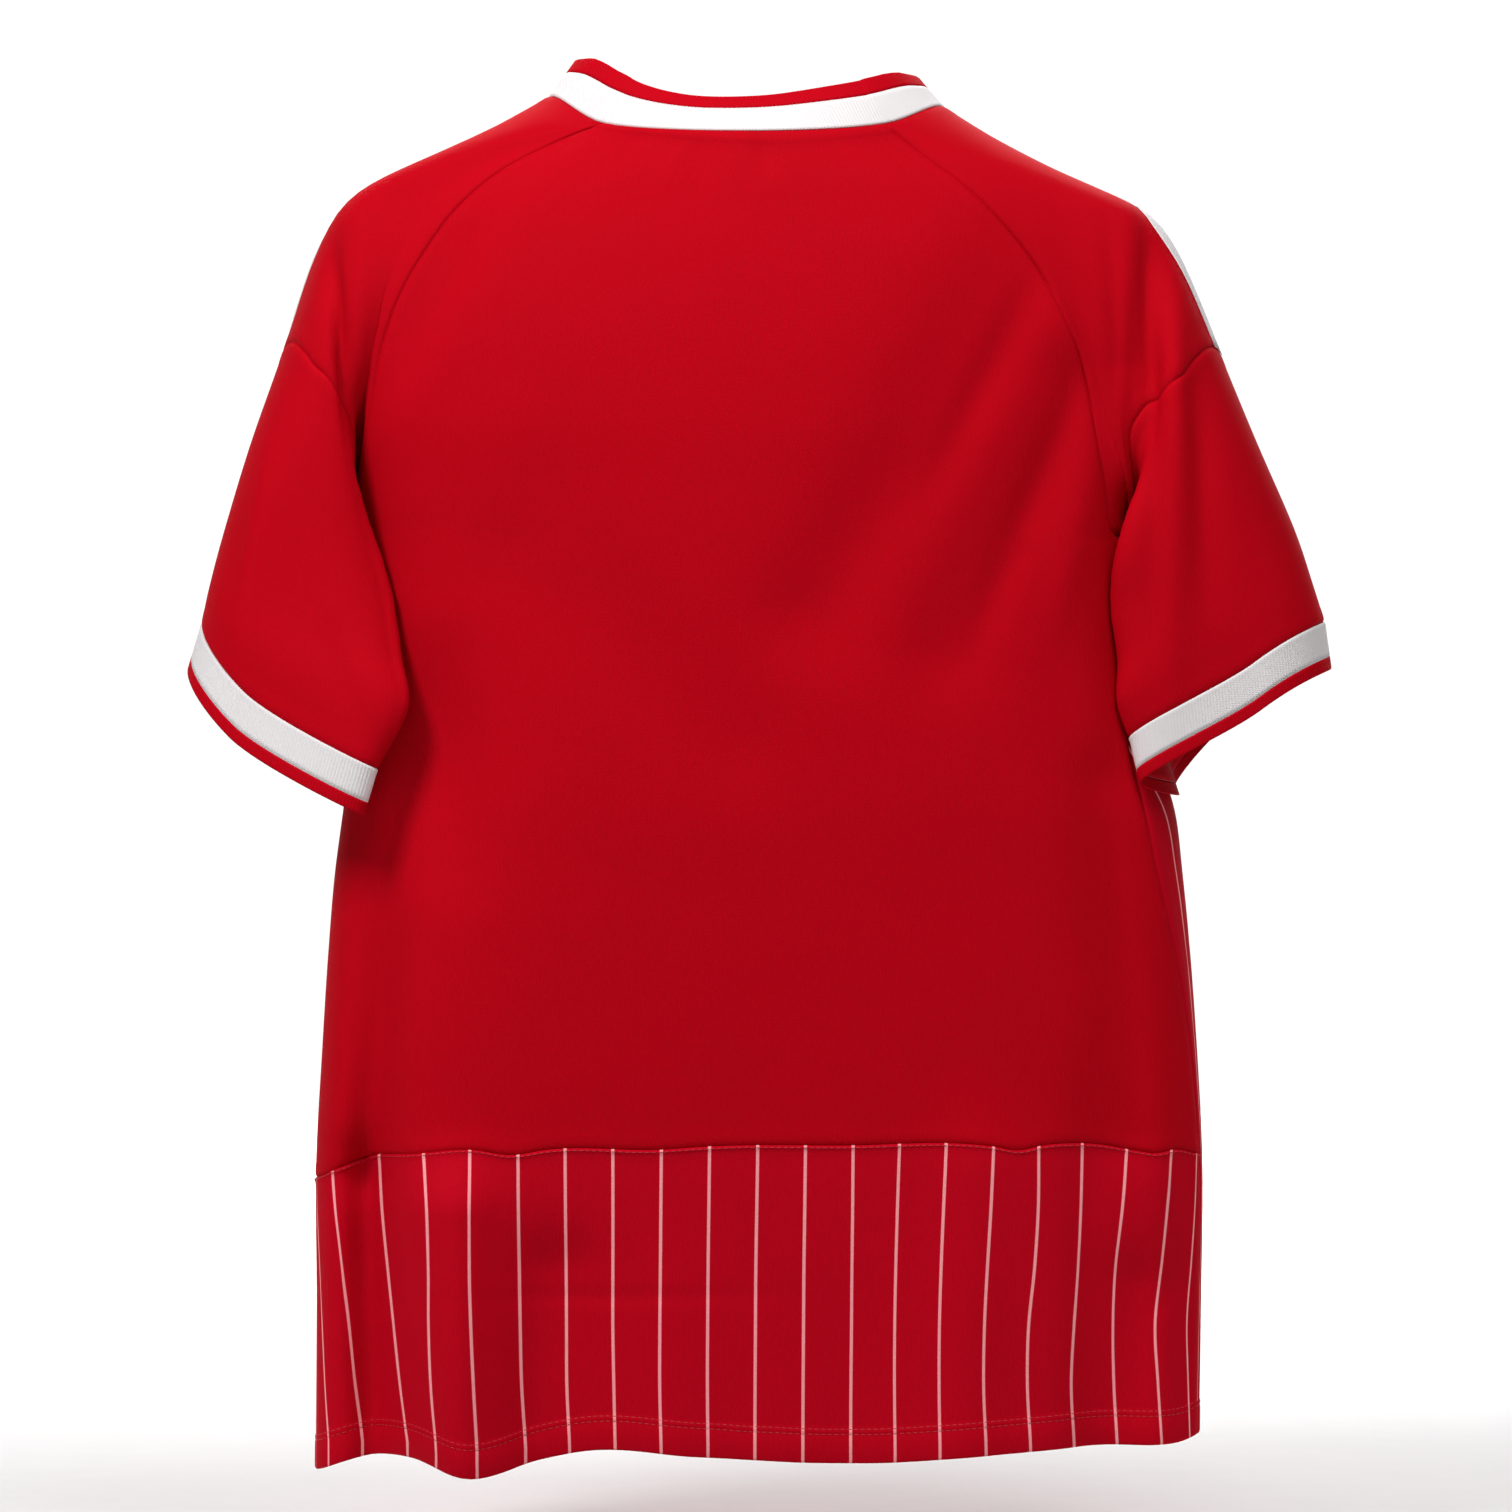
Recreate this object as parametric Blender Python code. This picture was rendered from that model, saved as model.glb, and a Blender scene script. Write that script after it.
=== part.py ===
"""A short-sleeved football jersey, filled out and held up at the shoulders, as cut and sewn cloth walls.

Units are metres and +Z is up. The garment's front faces -Y and its back +Y, so the wearer's left is +X.
The origin lies between the two neck points of the shoulders, where a wearer or a hanger holds the garment.

The body is a stack of level rings. A raglan seam runs from the neck to each underarm, front and back. The
shoulder pieces are lofted from those seams to the upper sleeve seam, and the sleeves and cuffs from there.
Every piece is a closed wall of its own, cut from one shared middle surface, with a small gap at each seam.
Both faces of a wall are set off that surface along normals that it shares with its neighbours at a seam, so
two pieces that meet at an angle stay clear of each other. Solidify, which sees one piece alone, can't do so.
"""

from collections import namedtuple

import bmesh
import bpy
import numpy as np

# Driving sizes.
WALL = 0.0014  # thickness of the cloth
SEAM_GAP = 0.0003  # clear space between two sewn pieces
BAND_WHITE = 0.0180  # white part of the collar and of each cuff
BAND_RED = 0.0070  # red edge of the collar and of each cuff
TAPE = 0.0008  # thickness of the shoulder tape, which lies on the shoulder piece

# Mesh density, in steps.
BACK_COLUMNS = 30
FRONT_COLUMNS = 26
HEM_ROWS = 7  # from the hem to the seam above the striped lower back
WAIST_ROWS = 12  # from that seam to the underarm
CHEST_ROWS = 12  # from the underarm to the neck, along the raglan seams
SHOULDER_ROWS = 7
SLEEVE_ROWS = 8
FINE = 161  # samples of a row before it is spaced out evenly

RED = (0.50, 0.004, 0.020)
CRIMSON = (0.47, 0.007, 0.030)
WHITE = (0.86, 0.84, 0.84)

# Level sections of the body. left and right are half widths, back and front are half depths, and square is
# the power of the rounded outline: 2 is an ellipse, and more is squarer.
BodySection = namedtuple("BodySection", "height left right back front square")
BODY = (
    BodySection(-0.7200, 0.2256, 0.2370, 0.062, 0.070, 3.4),
    BodySection(-0.6300, 0.2250, 0.2385, 0.068, 0.076, 3.3),
    BodySection(-0.5550, 0.2252, 0.2393, 0.074, 0.083, 3.2),
    BodySection(-0.4980, 0.2222, 0.2366, 0.078, 0.089, 3.0),
    BodySection(-0.4460, 0.2190, 0.2330, 0.081, 0.094, 2.8),
    BodySection(-0.4040, 0.2155, 0.2290, 0.083, 0.098, 2.7),
    BodySection(-0.3720, 0.2113, 0.2250, 0.085, 0.100, 2.6),
    BodySection(-0.3380, 0.2070, 0.2140, 0.086, 0.102, 2.5),
    BodySection(-0.3000, 0.2050, 0.2060, 0.087, 0.103, 2.4),
    BodySection(-0.2310, 0.2040, 0.2020, 0.088, 0.102, 2.4),
    BodySection(-0.2000, 0.2080, 0.2035, 0.088, 0.099, 2.4),
    BodySection(-0.1760, 0.2115, 0.2050, 0.088, 0.097, 2.4),
    BodySection(-0.1530, 0.2145, 0.2080, 0.087, 0.094, 2.35),
    BodySection(-0.1250, 0.2158, 0.2090, 0.085, 0.089, 2.3),
    BodySection(-0.1000, 0.2125, 0.2040, 0.082, 0.082, 2.25),
    BodySection(-0.0810, 0.2050, 0.1960, 0.079, 0.076, 2.2),
    BodySection(-0.0610, 0.1920, 0.1780, 0.075, 0.068, 2.15),
    BodySection(-0.0470, 0.1760, 0.1580, 0.072, 0.062, 2.1),
    BodySection(-0.0330, 0.1510, 0.1320, 0.068, 0.055, 2.05),
    BodySection(-0.0240, 0.1300, 0.1170, 0.065, 0.051, 2.0),
    BodySection(-0.0180, 0.1140, 0.1080, 0.063, 0.049, 2.0),
    BodySection(-0.0140, 0.1030, 0.1030, 0.061, 0.047, 2.0),
)

# Side seams below the underarm: turn is in degrees from the side of the body towards its back.
SideSeam = namedtuple("SideSeam", "height left right")
SIDE_SEAMS = (
    SideSeam(-0.7200, -6.0, 8.0),
    SideSeam(-0.5550, -7.0, 11.0),
    SideSeam(-0.4980, -8.0, 14.0),
    SideSeam(-0.4460, -8.0, 20.0),
    SideSeam(-0.3720, -8.0, 26.0),
    SideSeam(-0.3000, -8.0, 27.0),
    SideSeam(-0.2310, -8.0, 22.0),
)

# Raglan seams, from the neck down to the underarm: the turn in degrees as above, at each height.
SeamPoint = namedtuple("SeamPoint", "height turn")
RAGLAN = {
    ("left", "back"): (
        SeamPoint(-0.0150, 46.5),
        SeamPoint(-0.0190, 43.0),
        SeamPoint(-0.0260, 41.0),
        SeamPoint(-0.0380, 39.8),
        SeamPoint(-0.0520, 39.5),
        SeamPoint(-0.0730, 38.2),
        SeamPoint(-0.1000, 35.2),
        SeamPoint(-0.1300, 31.0),
        SeamPoint(-0.1600, 26.0),
        SeamPoint(-0.1900, 19.0),
        SeamPoint(-0.2150, 9.0),
        SeamPoint(-0.2310, -8.0),
    ),
    ("right", "back"): (
        SeamPoint(-0.0150, 46.5),
        SeamPoint(-0.0210, 45.5),
        SeamPoint(-0.0330, 45.5),
        SeamPoint(-0.0500, 45.9),
        SeamPoint(-0.0700, 45.5),
        SeamPoint(-0.1050, 41.4),
        SeamPoint(-0.1450, 35.2),
        SeamPoint(-0.1800, 29.6),
        SeamPoint(-0.2080, 25.4),
        SeamPoint(-0.2310, 22.0),
    ),
    ("left", "front"): (
        SeamPoint(-0.0500, -62.0),
        SeamPoint(-0.0800, -52.0),
        SeamPoint(-0.1200, -44.0),
        SeamPoint(-0.1600, -36.0),
        SeamPoint(-0.2000, -27.0),
        SeamPoint(-0.2240, -18.0),
        SeamPoint(-0.2310, -8.0),
    ),
    ("right", "front"): (
        SeamPoint(-0.0560, -62.0),
        SeamPoint(-0.0850, -52.0),
        SeamPoint(-0.1250, -44.0),
        SeamPoint(-0.1600, -34.0),
        SeamPoint(-0.1900, -22.0),
        SeamPoint(-0.2100, -6.0),
        SeamPoint(-0.2220, 8.0),
        SeamPoint(-0.2310, 22.0),
    ),
}

# Neck point of each shoulder, and how far the middle of each neckline hangs below its corners.
NECK_POINTS = {"left": (0.104, 0.000, 0.002), "right": (0.105, 0.000, -0.004)}
NECK_DIP = {"back": -0.0056, "front": -0.0380}

# Heights of the lower edge and of the seam above it, from the right side to the left side.
EdgePoint = namedtuple("EdgePoint", "x height")
HEM = {
    "back": (
        EdgePoint(-0.2350, -0.7045),
        EdgePoint(-0.2150, -0.6998),
        EdgePoint(-0.1830, -0.7007),
        EdgePoint(-0.1310, -0.7046),
        EdgePoint(-0.0600, -0.7092),
        EdgePoint(0.0240, -0.7058),
        EdgePoint(0.0770, -0.7027),
        EdgePoint(0.1065, -0.7076),
        EdgePoint(0.1400, -0.7153),
        EdgePoint(0.1740, -0.7072),
        EdgePoint(0.1910, -0.7074),
        EdgePoint(0.2093, -0.7109),
        EdgePoint(0.2256, -0.7175),
    ),
    "front": (
        EdgePoint(-0.2350, -0.7045),
        EdgePoint(-0.1200, -0.7110),
        EdgePoint(0.0000, -0.7070),
        EdgePoint(0.1200, -0.7125),
        EdgePoint(0.2256, -0.7175),
    ),
}
LOWER_BACK_SEAM = (
    EdgePoint(-0.2350, -0.5520),
    EdgePoint(-0.2000, -0.5475),
    EdgePoint(-0.0500, -0.5445),
    EdgePoint(0.0900, -0.5460),
    EdgePoint(0.1700, -0.5495),
    EdgePoint(0.2100, -0.5570),
    EdgePoint(0.2256, -0.5650),
)

# Soft folds of the body: a ridge (rise above 0) or a trough along the line from one point to another.
BodyFold = namedtuple("BodyFold", "x0 z0 x1 z1 width rise")
BODY_FOLDS = {
    "back": (
        BodyFold(0.207, -0.350, 0.203, -0.560, 0.014, -0.008),
        BodyFold(0.203, -0.560, 0.183, -0.730, 0.017, -0.012),
        BodyFold(0.152, -0.580, 0.139, -0.730, 0.026, 0.014),
        BodyFold(0.098, -0.610, 0.088, -0.730, 0.022, -0.007),
        BodyFold(-0.150, -0.075, -0.040, -0.270, 0.030, -0.005),
        BodyFold(-0.165, -0.150, -0.105, -0.290, 0.026, -0.005),
        BodyFold(-0.188, -0.360, -0.200, -0.540, 0.020, -0.005),
        BodyFold(0.120, -0.240, 0.010, -0.335, 0.030, -0.003),
        BodyFold(-0.205, -0.620, -0.190, -0.730, 0.020, -0.006),
        BodyFold(-0.120, -0.560, -0.105, -0.730, 0.028, 0.004),
    ),
    "front": (
        BodyFold(0.150, -0.110, 0.060, -0.290, 0.022, -0.006),
        BodyFold(-0.150, -0.110, -0.055, -0.300, 0.022, -0.006),
        BodyFold(0.110, -0.430, 0.125, -0.730, 0.026, 0.009),
        BodyFold(0.060, -0.500, 0.066, -0.730, 0.022, -0.007),
        BodyFold(-0.100, -0.460, -0.112, -0.730, 0.028, 0.008),
        BodyFold(-0.175, -0.360, -0.168, -0.730, 0.024, -0.008),
    ),
}

# Sections of the sleeves from the upper sleeve seam to the edge of the cuff, with x measured outwards. outer
# and inner are the ends of the section's long way, back is its half depth towards the back, fold moves the
# fold of spare cloth at the body, and arch lifts the back and the front above the line between the ends.
SleeveRow = namedtuple(
    "SleeveRow",
    "outer_x outer_y outer_z inner_x inner_y inner_z back_x back_y back_z fold_x fold_y fold_z arch",
)
SLEEVES = {
    "left": (
        SleeveRow(0.242, 0.002, -0.127, 0.212, 0.006, -0.238, -0.012, 0.052, 0.022, -0.008, 0.006, 0.0, 0.0),
        SleeveRow(0.259, 0.0, -0.178, 0.208, 0.01, -0.268, 0.0, 0.052, 0.012, -0.028, 0.012, 0.0, 0.0),
        SleeveRow(0.273, -0.002, -0.224, 0.207, 0.015, -0.298, 0.005, 0.05, 0.002, -0.038, 0.016, 0.0, 0.0),
        SleeveRow(0.281, 0.0, -0.254, 0.209, 0.02, -0.322, 0.006, 0.049, -0.004, -0.044, 0.018, 0.0, 0.0),
        SleeveRow(0.285, 0.0, -0.272, 0.213, 0.022, -0.338, 0.006, 0.047, -0.01, -0.032, 0.014, -0.012, 0.0),
    ),
    "right": (
        SleeveRow(0.248, 0.002, -0.129, 0.212, 0.006, -0.238, -0.012, 0.05, 0.02, -0.006, 0.004, 0.0, 0.0),
        SleeveRow(0.268, 0.002, -0.178, 0.207, 0.006, -0.27, -0.004, 0.05, 0.009, -0.022, 0.012, 0.0, 0.002),
        SleeveRow(0.288, 0.002, -0.224, 0.209, 0.005, -0.3, -0.002, 0.048, 0.003, -0.024, 0.018, 0.0, 0.005),
        SleeveRow(0.298, 0.002, -0.254, 0.214, 0.003, -0.323, 0.0, 0.047, 0.001, -0.028, 0.022, 0.0, 0.008),
        SleeveRow(0.304, 0.002, -0.273, 0.219, 0.001, -0.339, 0.0, 0.046, -0.001, -0.024, 0.022, -0.002, 0.01),
    ),
}
SLEEVE_FOLD_TURN = {"left": 145.0, "right": 150.0}  # where the fold lies: 0 is the outside, 90 the back
SLEEVE_FOLD_REACH = (64.0, 38.0)  # degrees to its back and to its front
BODY_CLEARANCE = 0.0045  # a sleeve lies this far off the body where the two would meet
ARMPIT_TURN = 180.0

# Columns over the shoulder: the share of the way round the neck, back to front, and the sleeve's turn below.
OverColumn = namedtuple("OverColumn", "share turn")
OVER = (
    OverColumn(0.00, 28.0),
    OverColumn(0.20, 19.0),
    OverColumn(0.38, 9.0),
    OverColumn(0.52, 0.0),
    OverColumn(0.70, -17.0),
    OverColumn(0.85, -23.0),
    OverColumn(1.00, -28.0),
)
NECK_COLUMNS = len(OVER) - 1
CUFF_WAY = {"left": (0.29, 0.0, -0.957), "right": (0.14, 0.0, -0.990)}  # way down the cuff

# How far the loft of a shoulder piece follows the body and the sleeve, as shares of its own length, and the
# least of each at the armpit.
SIDE_PULL = (0.34, 0.34)
TOP_PULL = (0.78, 0.55)
ARMPIT_PULL = (0.011, 0.013)
EASE = 6  # times that each ring of a shoulder piece is evened out
EASE_IN = 2.4  # how soon that starts after the seams
LEAST_SPREAD = 0.6  # least turn of a column away from the seam that it leaves
ARMPIT_COLUMNS = 4  # columns to each side of the armpit over which that changes
TOP_COLUMNS = 5  # and to each side of the neck
SHOULDER_SLOPE = (0.38, 0.0, 0.925)  # outward normal of the shoulder piece at the neck point

# The collar leans in towards the neck: degrees from upright at the sides, at the back and at the front.
COLLAR_LEAN = {"side": 34.0, "back": 44.0, "front": 30.0}

# The shoulder tape covers these columns of the shoulder piece, counted from the back of the neck.
TAPE_COLUMNS = (3, 4)


def unit(vectors):
    return vectors / np.maximum(np.linalg.norm(vectors, axis=-1, keepdims=True), 1e-12)


def column(rows, name):
    return np.array([getattr(row, name) for row in rows])


def smooth_through(knots, values, at):
    """A smooth curve through the values at the knots, read at each place."""
    order = np.argsort(knots)
    k, y = np.asarray(knots, float)[order], np.asarray(values, float)[order]
    slope = np.gradient(y, k)
    at = np.clip(at, k[0], k[-1])
    i = np.clip(np.searchsorted(k, at, side="right") - 1, 0, len(k) - 2)
    h = k[i + 1] - k[i]
    t = (at - k[i]) / h
    rise = (2 * t**3 - 3 * t**2 + 1) * y[i] + (3 * t**2 - 2 * t**3) * y[i + 1]
    return rise + h * ((t**3 - 2 * t**2 + t) * slope[i] + (t**3 - t**2) * slope[i + 1])


def read_rows(rows, key, name, at):
    return smooth_through(column(rows, key), column(rows, name), at)


def body_folds(which, x, z):
    """How far the folds move the cloth out at each point."""
    total = np.zeros_like(x)
    for fold in BODY_FOLDS[which]:
        run_x, run_z = fold.x1 - fold.x0, fold.z1 - fold.z0
        along = ((x - fold.x0) * run_x + (z - fold.z0) * run_z) / (run_x**2 + run_z**2)
        along = np.clip(along, 0.0, 1.0)
        away = np.hypot(x - fold.x0 - along * run_x, z - fold.z0 - along * run_z)
        total += fold.rise * np.exp(-((away / fold.width) ** 2))
    return total


def body_point(turn, height, folded=True):
    """A point of the body's middle surface. The turn is 0 at the left side and 90 degrees at the back."""
    turn, height = np.broadcast_arrays(np.radians(turn), np.asarray(height, float))
    cosine, sine = np.cos(turn), np.sin(turn)
    power = 2.0 / read_rows(BODY, "height", "square", height)
    left = read_rows(BODY, "height", "left", height)
    right = read_rows(BODY, "height", "right", height)
    back = read_rows(BODY, "height", "back", height)
    front = read_rows(BODY, "height", "front", height)
    x = np.sign(cosine) * np.abs(cosine) ** power * np.where(cosine > 0, left, right)
    y = np.sign(sine) * np.abs(sine) ** power * np.where(sine > 0, back, front)
    if folded:
        facing = np.clip(np.abs(sine) * 1.6, 0.0, 1.0) ** 2
        back_rise = body_folds("back", x, height) * facing
        front_rise = body_folds("front", x, height) * facing
        y = y + np.where(sine > 0, back_rise, -front_rise)
    return np.stack([x, y, height], axis=-1)


def evenly(points_of, count):
    """Shares from 0 to 1 that cut the curve points_of(share) into steps of equal length."""
    share = np.linspace(0.0, 1.0, FINE)
    steps = np.linalg.norm(np.diff(points_of(share), axis=0), axis=1)
    along = np.concatenate([[0.0], np.cumsum(steps)])
    return np.interp(np.linspace(0.0, along[-1], count + 1), along, share)


def full_turn(side, turn):
    """The body's turn of a seam whose own turn is measured from its side."""
    return turn if side == "left" else 180.0 - turn


def raglan_edge(side, which):
    """Heights and turns up one raglan seam, from the underarm to the neck, in equal steps."""
    seam = RAGLAN[(side, which)]
    knots = np.linspace(1.0, 0.0, len(seam))

    def place(share):
        height = smooth_through(knots, column(seam, "height"), share)
        turn = smooth_through(knots, column(seam, "turn"), share)
        return height, full_turn(side, turn)

    def points_of(share):
        height, turn = place(share)
        return body_point(turn, height, folded=False)

    return place(evenly(points_of, CHEST_ROWS))


def panel_edge(side, which):
    """Heights and turns up one edge of the front or the back, from the hem to the neck."""
    end = -1 if side == "left" else 0
    hem, seam = HEM["back"][end].height, LOWER_BACK_SEAM[end].height
    underarm = RAGLAN[(side, "back")][-1].height
    heights = np.concatenate(
        [
            np.linspace(hem, seam, HEM_ROWS + 1),
            np.linspace(seam, underarm, WAIST_ROWS + 1)[1:],
        ]
    )
    turns = full_turn(side, read_rows(SIDE_SEAMS, "height", side, heights))
    raglan_heights, raglan_turns = raglan_edge(side, which)
    return (
        np.concatenate([heights, raglan_heights[1:]]),
        np.concatenate([turns, raglan_turns[1:]]),
    )


def row_sag(which, row, share, x):
    """How far a row of the panel hangs below or above the straight line between its two ends."""
    rows_below = HEM_ROWS + WAIST_ROWS

    def off_line(table):
        line = table[0].height + (table[-1].height - table[0].height) * share
        return read_rows(table, "x", "height", x) - line

    if row <= HEM_ROWS:
        part = row / HEM_ROWS
        return (1.0 - part) * off_line(HEM[which]) + part * off_line(LOWER_BACK_SEAM)
    if row <= rows_below:
        return (1.0 - (row - HEM_ROWS) / WAIST_ROWS) * off_line(LOWER_BACK_SEAM)
    part = (row - rows_below) / CHEST_ROWS
    return NECK_DIP[which] * part**2 * 4.0 * share * (1.0 - share)


def panel(which):
    """The middle surface of the whole back or front, hem to neck, with its columns running round the body."""
    starts, ends = ("right", "left") if which == "back" else ("left", "right")
    count = BACK_COLUMNS if which == "back" else FRONT_COLUMNS
    start_heights, start_turns = panel_edge(starts, which)
    end_heights, end_turns = panel_edge(ends, which)
    if which == "front":
        end_turns = end_turns - 360.0
    rows = []
    for row in range(len(start_heights)):

        def place(share, row=row):
            height = start_heights[row] + (end_heights[row] - start_heights[row]) * share
            leftwards = share if which == "back" else 1.0 - share
            turn = start_turns[row] + (end_turns[row] - start_turns[row]) * share
            x = body_point(turn, height, folded=False)[..., 0]
            return turn, height + row_sag(which, row, leftwards, x)

        share = evenly(lambda at: body_point(*place(at), folded=False), count)
        rows.append(body_point(*place(share)))
    return np.array(rows)


def hermite(start, start_way, end, end_way, share):
    """A curve from start to end that leaves and arrives along the two ways."""
    t = share[:, None]
    size = np.linalg.norm(end - start)
    line = (2 * t**3 - 3 * t**2 + 1) * start + (3 * t**2 - 2 * t**3) * end
    return line + size * ((t**3 - 2 * t**2 + t) * start_way + (t**3 - t**2) * end_way)


def neck_arc(side, back_corner, back_way, front_corner, front_way):
    """Points over one shoulder at the neck, from the back corner over the neck point to the front corner."""
    top = np.array(NECK_POINTS[side])
    over = unit(front_corner - back_corner)

    def points_of(share):
        back_part = hermite(back_corner, back_way, top, over, np.clip(share * 2, 0, 1))
        front_part = hermite(top, over, front_corner, front_way, np.clip(share * 2 - 1, 0, 1))
        return np.where(share[:, None] < 0.5, back_part, front_part)

    shares = evenly(points_of, FINE)
    return points_of(np.interp(column(OVER, "share"), np.linspace(0.0, 1.0, FINE + 1), shares))


def surface_normals(points, closed=False):
    """Unit normals of a grid: the way along its rows crossed with the way up its columns."""
    if closed:
        along = np.roll(points, -1, axis=1) - np.roll(points, 1, axis=1)
    else:
        along = np.gradient(points, axis=1)
    return unit(np.cross(along, np.gradient(points, axis=0)))


def armhole(side, panels):
    """The loop that a shoulder piece starts from, and the body's outward normals along it.

    It runs up the back seam, over the neck and down the front seam. Here, as in a sleeve, x points outwards.
    """
    outwards = np.array([1.0 if side == "left" else -1.0, 1.0, 1.0])
    seams, normals, ways = {}, {}, {}
    for which, points in panels.items():
        at_end = (which == "back") == (side == "left")
        edge, beside = (-1, -2) if at_end else (0, 1)
        rows = slice(HEM_ROWS + WAIST_ROWS, None)
        seams[which] = points[rows, edge] * outwards
        normals[which] = body_normals(points)[rows, edge] * outwards
        ways[which] = unit(points[-1, edge] - points[-1, beside]) * outwards
    arc = neck_arc(side, seams["back"][-1], ways["back"], seams["front"][-1], -ways["front"])
    share = column(OVER, "share")[:, None]
    over = 4 * share * (1 - share) * unit(np.array(SHOULDER_SLOPE))
    over = over + (1 - share) ** 2 * normals["back"][-1] + share**2 * normals["front"][-1]
    down, down_normals = seams["front"][-2:0:-1], normals["front"][-2:0:-1]
    loop = np.concatenate([seams["back"], arc[1:], down])
    return loop, unit(np.concatenate([normals["back"], over[1:], down_normals]))


def body_normals(points, closed=False):
    """Outward normals of the back, the front or the collar, whose columns run the other way round."""
    return -surface_normals(points, closed)


def sleeve_turns():
    """The turn of each column of a sleeve: up the back, across below the neck, and down the front."""
    over = column(OVER, "turn")
    back = np.linspace(ARMPIT_TURN, over[0], CHEST_ROWS + 1)
    front = np.linspace(over[-1], ARMPIT_TURN - 360.0, CHEST_ROWS + 1)
    return np.concatenate([back, over[1:], front[1:-1]])


def sleeve_ring(side, place):
    """A ring of the sleeve at a place along it, from 0 at its upper seam to 1 at the cuff."""
    rows = SLEEVES[side]
    knots = np.linspace(0.0, 1.0, len(rows))
    size = {name: smooth_through(knots, column(rows, name), place) for name in SleeveRow._fields}
    outer, inner, back, fold = (
        np.array([size[f"{part}_{axis}"] for axis in "xyz"]) for part in ("outer", "inner", "back", "fold")
    )
    turns = sleeve_turns()
    angle = np.radians(turns)[:, None]
    ring = (outer + inner) / 2 + (outer - inner) / 2 * np.cos(angle) + back * np.sin(angle)
    ring = ring + np.array([0.0, 0.0, size["arch"]]) * np.sin(angle) ** 2
    away = (turns - SLEEVE_FOLD_TURN[side] + 180.0) % 360.0 - 180.0
    away = np.where(away < 0, -away / SLEEVE_FOLD_REACH[0], away / SLEEVE_FOLD_REACH[1])
    share = np.cos(np.radians(90.0) * np.clip(away, 0.0, 1.0)) ** 2
    return ring + fold * share[:, None]


def off_body(side, points, amount):
    """The points, x outwards, pushed out of the body's section so that they lie against it, not inside it."""
    x, y, height = points[..., 0], points[..., 1], points[..., 2]
    power = read_rows(BODY, "height", "square", height)
    wide = read_rows(BODY, "height", side, height)
    deep = read_rows(BODY, "height", "back", height)
    deep = np.where(y > 0, deep, read_rows(BODY, "height", "front", height))
    radius = ((np.abs(x) / wide) ** power + (np.abs(y) / deep) ** power) ** (1 / power)
    short = radius - 1.0 - BODY_CLEARANCE / np.hypot(x, y)
    wanted = radius - short + 0.5 * (short + np.hypot(short, 0.012))
    scale = 1.0 + (wanted / radius - 1.0) * amount
    return np.stack([x * scale, y * scale, height], axis=-1)


def sleeve_tube(side, panels):
    """Rings of one whole sleeve, x outwards: the shoulder piece, the sleeve, and the cuff's two bands."""
    loop, loop_normals = armhole(side, panels)
    places = np.linspace(0.0, 1.0, SLEEVE_ROWS + 1)
    sleeve = np.array([sleeve_ring(side, place) for place in places])
    sleeve = off_body(side, sleeve, np.clip(places * 4, 0.0, 1.0)[:, None])
    along = unit(np.roll(loop, -1, axis=0) - np.roll(loop, 1, axis=0))
    away = sleeve[0] - loop
    reach = np.linalg.norm(away, axis=1, keepdims=True)
    arrive = unit(sleeve[1] - sleeve[0])
    # Columns leave the seam in the body's own surface: towards the sleeve, but upwards at the armpit.
    across = unit(np.cross(loop_normals, along))
    off_seam = (away * across).sum(axis=1, keepdims=True)
    beside_seam = (away * along).sum(axis=1, keepdims=True)
    straight = unit(np.maximum(off_seam, LEAST_SPREAD * reach) * across + beside_seam * along)
    steps = np.arange(len(loop))
    from_armpit = np.minimum(steps, len(loop) - steps)[:, None]
    armpit = 0.5 + 0.5 * np.cos(np.pi * np.clip(from_armpit / ARMPIT_COLUMNS, 0.0, 1.0))
    leave = unit(armpit * across + (1.0 - armpit) * straight)
    from_top = np.clip(np.abs(steps - CHEST_ROWS - NECK_COLUMNS / 2)[:, None] - NECK_COLUMNS / 2, 0.0, None)
    top = 0.5 + 0.5 * np.cos(np.pi * np.clip(from_top / TOP_COLUMNS, 0.0, 1.0))
    first = np.maximum((SIDE_PULL[0] * (1 - top) + TOP_PULL[0] * top) * reach, ARMPIT_PULL[0])
    second = np.maximum((SIDE_PULL[1] * (1 - top) + TOP_PULL[1] * top) * reach, ARMPIT_PULL[1])
    top_column = CHEST_ROWS + NECK_COLUMNS // 2
    near_top = 0.5 + 0.5 * np.cos(np.pi * np.abs(steps - top_column) / top_column)[:, None]
    corners = (loop, loop + leave * first, sleeve[0] - arrive * second, sleeve[0])
    shoulder = []
    for t in np.linspace(0.0, 1.0, SHOULDER_ROWS + 1):
        weights = ((1 - t) ** 3, 3 * t * (1 - t) ** 2, 3 * t**2 * (1 - t), t**3)
        ring = sum(weight * corner for weight, corner in zip(weights, corners))
        ease, ridge = min(0.5, t * EASE_IN, (1.0 - t) * EASE_IN), ring[top_column]
        for _ in range(EASE):
            beside = (np.roll(ring, 1, axis=0) + np.roll(ring, -1, axis=0)) / 2
            ring = ring + (beside - ring) * ease
        # Evening out lowers the top of the shoulder, so the ring is drawn back up to it.
        ring = ring + (ridge - ring[top_column]) * near_top
        shoulder.append(ring)
    down = unit(np.array(CUFF_WAY[side]))
    cuff = [sleeve[-1] + down * depth for depth in (BAND_WHITE / 2, BAND_WHITE, BAND_WHITE + BAND_RED)]
    return np.concatenate([shoulder, sleeve[1:], off_body(side, np.array(cuff), 1.0)])


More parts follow.
